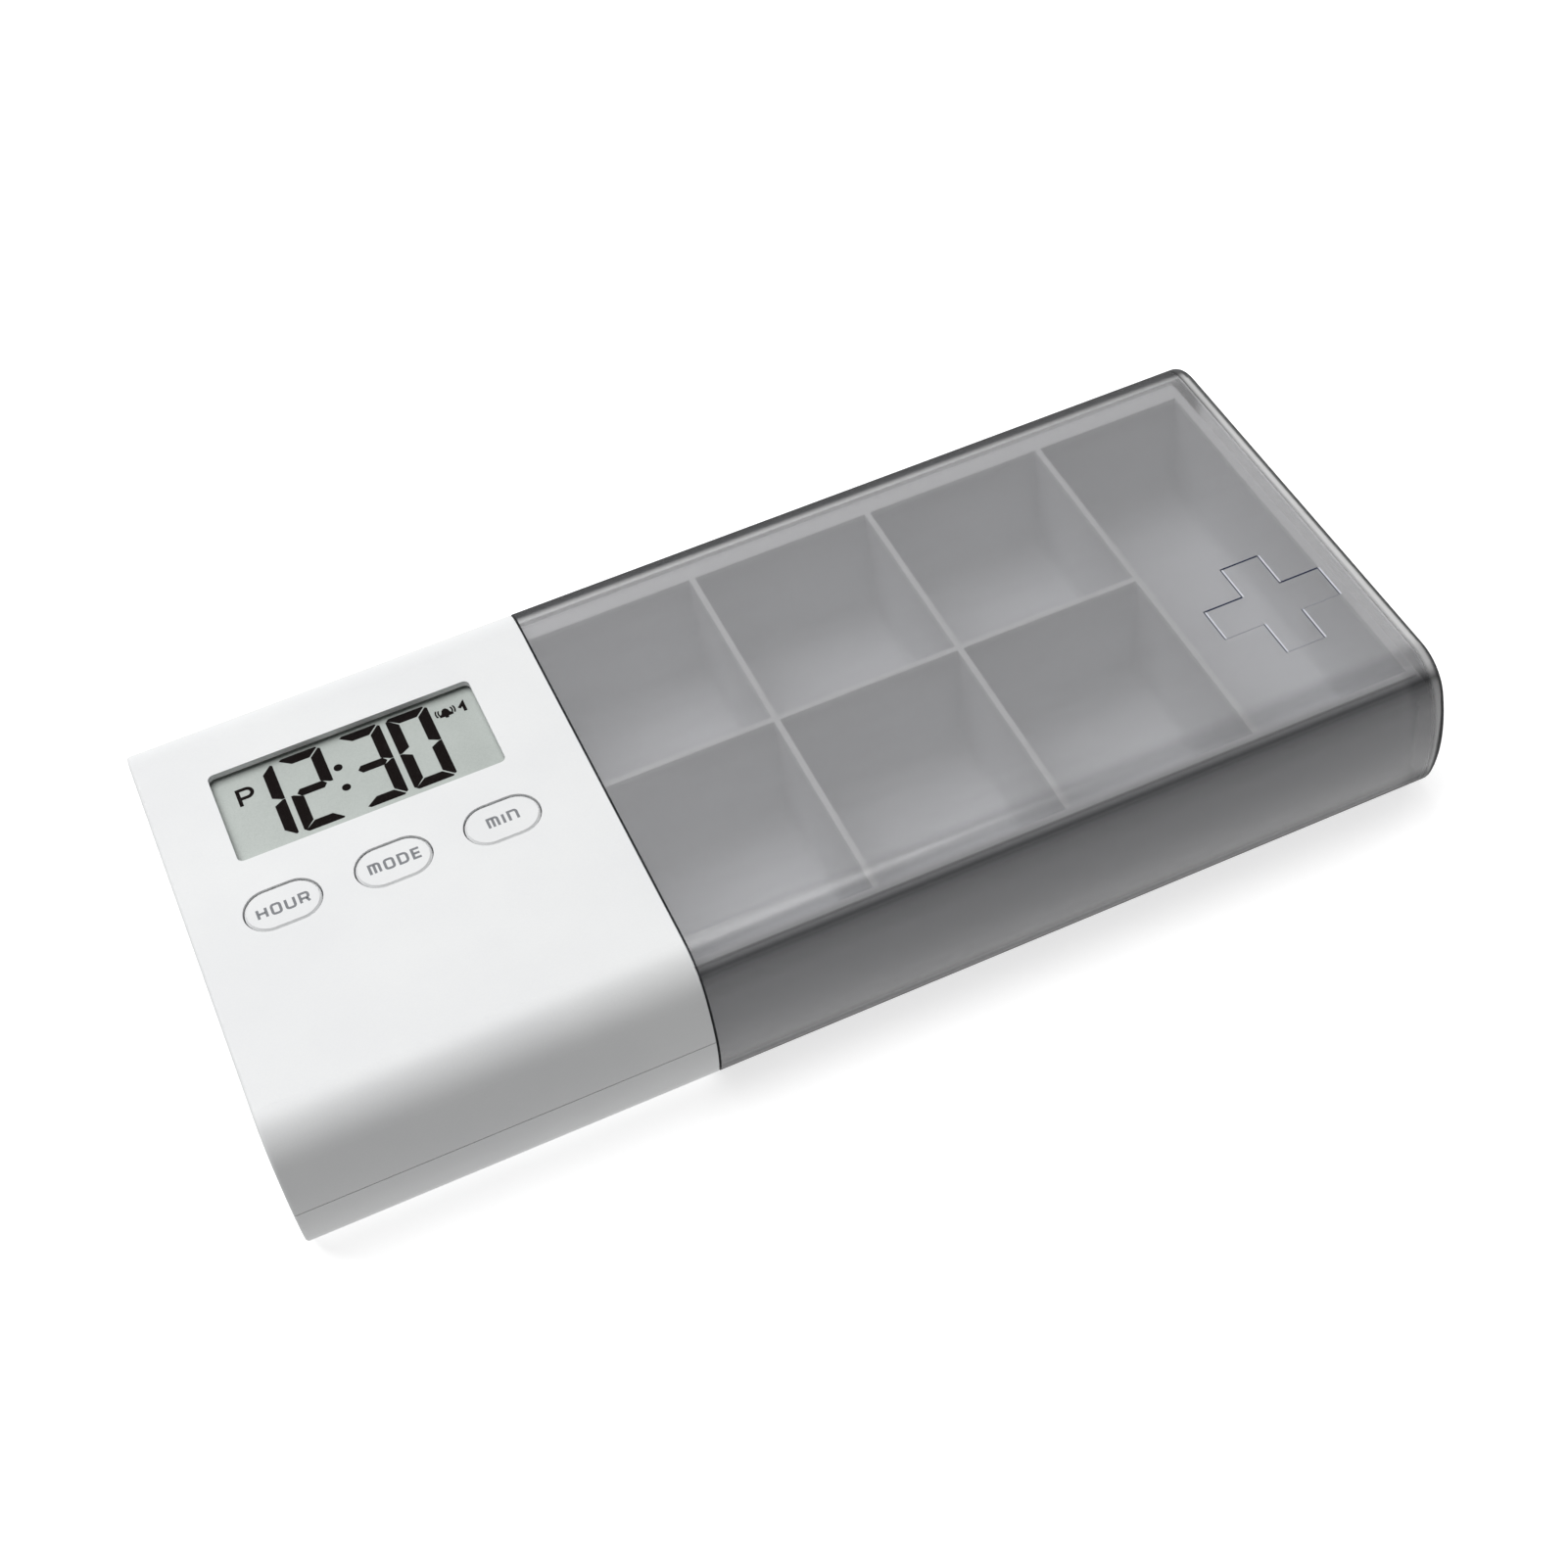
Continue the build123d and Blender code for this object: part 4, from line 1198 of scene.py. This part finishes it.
@dataclass
class PillStore:
    """The white compartment tray and the smoke sleeve that slides over it.

    Its lengths are in millimetres.
    """

    plus_x: float = 62.1
    plus_y: float = -14.1
    arm_length: float = 16.2
    arm_width: float = 5.3
    line: float = 0.24
    # How far the painted highlight sits beside the painted shade.
    highlight_shift: float = 0.18
    film: float = 0.012

    def build(self) -> None:
        """Dress the tray and the sleeve, and draw the plus on the sleeve."""
        # The tray's whiter top edges are painted light.
        dress(TrayPlastic("tray_plastic", "#FAFAFB", "#E9EAEC"), "pill_tray")
        _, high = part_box("smoke_sleeve")
        smoke = SmokePlastic("smoke_plastic", "#D2D2D3", "#D7D7D8", closed_end=high.x)
        dress(smoke, "smoke_sleeve")
        self._draw_plus(high.z - self.film * MM / 2)

    def _draw_plus(self, base: float) -> None:
        """Draw a plus on the sleeve's top as a groove's painted shade and highlight."""
        corners = plus_corners(self.arm_width / 2, self.arm_length / 2)
        # With X and Y swapped, the corners run anticlockwise.
        places = [Vector((self.plus_x + x, self.plus_y + y)) * MM for y, x in corners]
        dark, light, faint = bmesh.new(), bmesh.new(), bmesh.new()
        width, top = self.line * MM, base + self.film * MM
        aside = Vector((self.highlight_shift * MM, 0.0))
        # Side edges: painted shade and highlight; far edges: painted shade; near edges: faint
        # shade.
        for start, end in zip(places, places[1:] + places[:1]):
            along = end - start
            if abs(along.y) > abs(along.x):
                edges = [(dark, start, end, width / 2), (light, start + aside, end + aside, width)]
            elif along.x < 0:
                edges = [(dark, start, end, width)]
            else:
                edges = [(faint, start, end, width / 2)]
            for mesh, *ends, size in edges:
                add_ribbon(mesh, [tuple(place) for place in ends], size, base, top)
        for name, mesh, colour, shade in (
            ("plus_groove_shade", dark, "#363A4E", "#2D3144"),
            ("plus_groove_highlight", light, "#D2D5DB", "#C6C9D0"),
            ("plus_groove_faint_shade", faint, "#8E9095", "#82848A"),
        ):
            ink = Ink(name, colour, shade, roughness=0.4).material()
            piece(name, mesh, ink, "sleeve")


@dataclass(frozen=True)
class SoftBox:
    """One square soft box: its place, the point that it faces, its side and its watts."""

    name: str
    place: Place
    aim: Place
    side: float
    power: float

    def hang(self) -> None:
        """Add the lamp to the scene."""
        data = bpy.data.lights.new(self.name, "AREA")
        data.shape = "SQUARE"
        data.size = self.side
        data.energy = self.power
        lamp = show(self.name, data)
        lamp.location = self.place
        facing = Vector(self.aim) - Vector(self.place)
        lamp.rotation_euler = facing.to_track_quat("-Z", "Y").to_euler()


@dataclass
class Studio:
    """A pale floor, soft lamps and the camera."""

    camera_place: Place = (-0.062487, -0.202932, 0.253915)
    camera_turn: Place = (0.707187, 0.094865, -0.410181)
    lens: float = 58.489
    sensor_width: float = 36.0
    clip: Point = (0.01, 10.0)
    floor_drop: float = 0.0002
    floor_half: float = 2.5
    floor_glow: float = 0.68
    floor_fill: float = 0.66
    world_strength: float = 0.14
    lamps: tuple[SoftBox, ...] = (
        SoftBox("top_box", (-0.32, 0.40, 1.27), (0.0, 0.0, 0.0), side=1.2, power=20.4),
        SoftBox("end_box", (1.15, 0.80, 0.28), (0.075, 0.0, 0.015), side=0.6, power=5.5),
    )
    showing: tuple[Ray, ...] = (Ray.CAMERA, Ray.GLOSSY, Ray.TRANSMISSION)

    def build(self) -> None:
        """Set the camera, floor, world and lamps."""
        self._place_camera()
        self._lay_floor()
        self._light_world()
        for lamp in self.lamps:
            lamp.hang()
        bpy.context.scene.view_settings.view_transform = "Standard"

    def _place_camera(self) -> None:
        """Put the camera where the picture was taken from."""
        data = bpy.data.cameras.new("picture_camera")
        data.lens = self.lens
        data.sensor_width = self.sensor_width
        data.clip_start, data.clip_end = self.clip
        camera = show("picture_camera", data)
        camera.location = self.camera_place
        camera.rotation_euler = self.camera_turn
        bpy.context.scene.camera = camera

    @staticmethod
    def _glow(graph: Graph, strength: float) -> Node:
        """Add a white glow."""
        return graph.node("ShaderNodeEmission", None, {"Color": "#FFFFFF", "Strength": strength})

    def _glowing_paper(self, graph: Graph, code: str, strength: float) -> Node:
        """Add matt paper of a written colour with a white glow of its own."""
        paper, glow = graph.matt(code), self._glow(graph, strength)
        return graph.node("ShaderNodeAddShader", None, {0: paper.outputs[0], 1: glow.outputs[0]})

    def _lay_floor(self) -> None:
        """Lay the floor, which looks white and keeps the object's shadow."""
        mesh = bmesh.new()
        half = self.floor_half
        corners = [(-half, -half), (half, -half), (half, half), (-half, half)]
        mesh.faces.new(add_loop(mesh, corners, -self.floor_drop))
        graph = Graph.of_material("floor_paper")
        shown = self._glowing_paper(graph, "#D8D8D8", self.floor_glow)
        plain = graph.blend(graph.ray(Ray.CAMERA), self._glow(graph, 1.0), shown)
        lights = self._glowing_paper(graph, "#404040", self.floor_fill)
        graph.close(graph.blend(graph.ray(*self.showing), lights, plain))
        solid("floor", mesh, graph.owner)

    def _light_world(self) -> None:
        """Light the scene faintly from all round, and show white behind it."""
        world = bpy.data.worlds.new("studio_world")
        bpy.context.scene.world = world
        graph = Graph(world, "ShaderNodeOutputWorld")
        white = graph.node("ShaderNodeBackground", None, {"Color": "#FFFFFF"})
        sockets = {"Color": "#FFFFFF", "Strength": self.world_strength}
        faint = graph.node("ShaderNodeBackground", None, sockets)
        graph.close(graph.blend(graph.ray(*self.showing), faint, white))


def main() -> None:
    """Build every sub-assembly in order."""
    logging.basicConfig(level=logging.INFO, format="%(name)s: %(message)s")
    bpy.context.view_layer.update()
    for assembly in (TimerCase(), Display(), Keys(), Electronics(), BatteryBay(), PillStore()):
        assembly.build()
        log.info("finished %s", type(assembly).__name__)
    Studio().build()


if __name__ == "__main__":
    main()
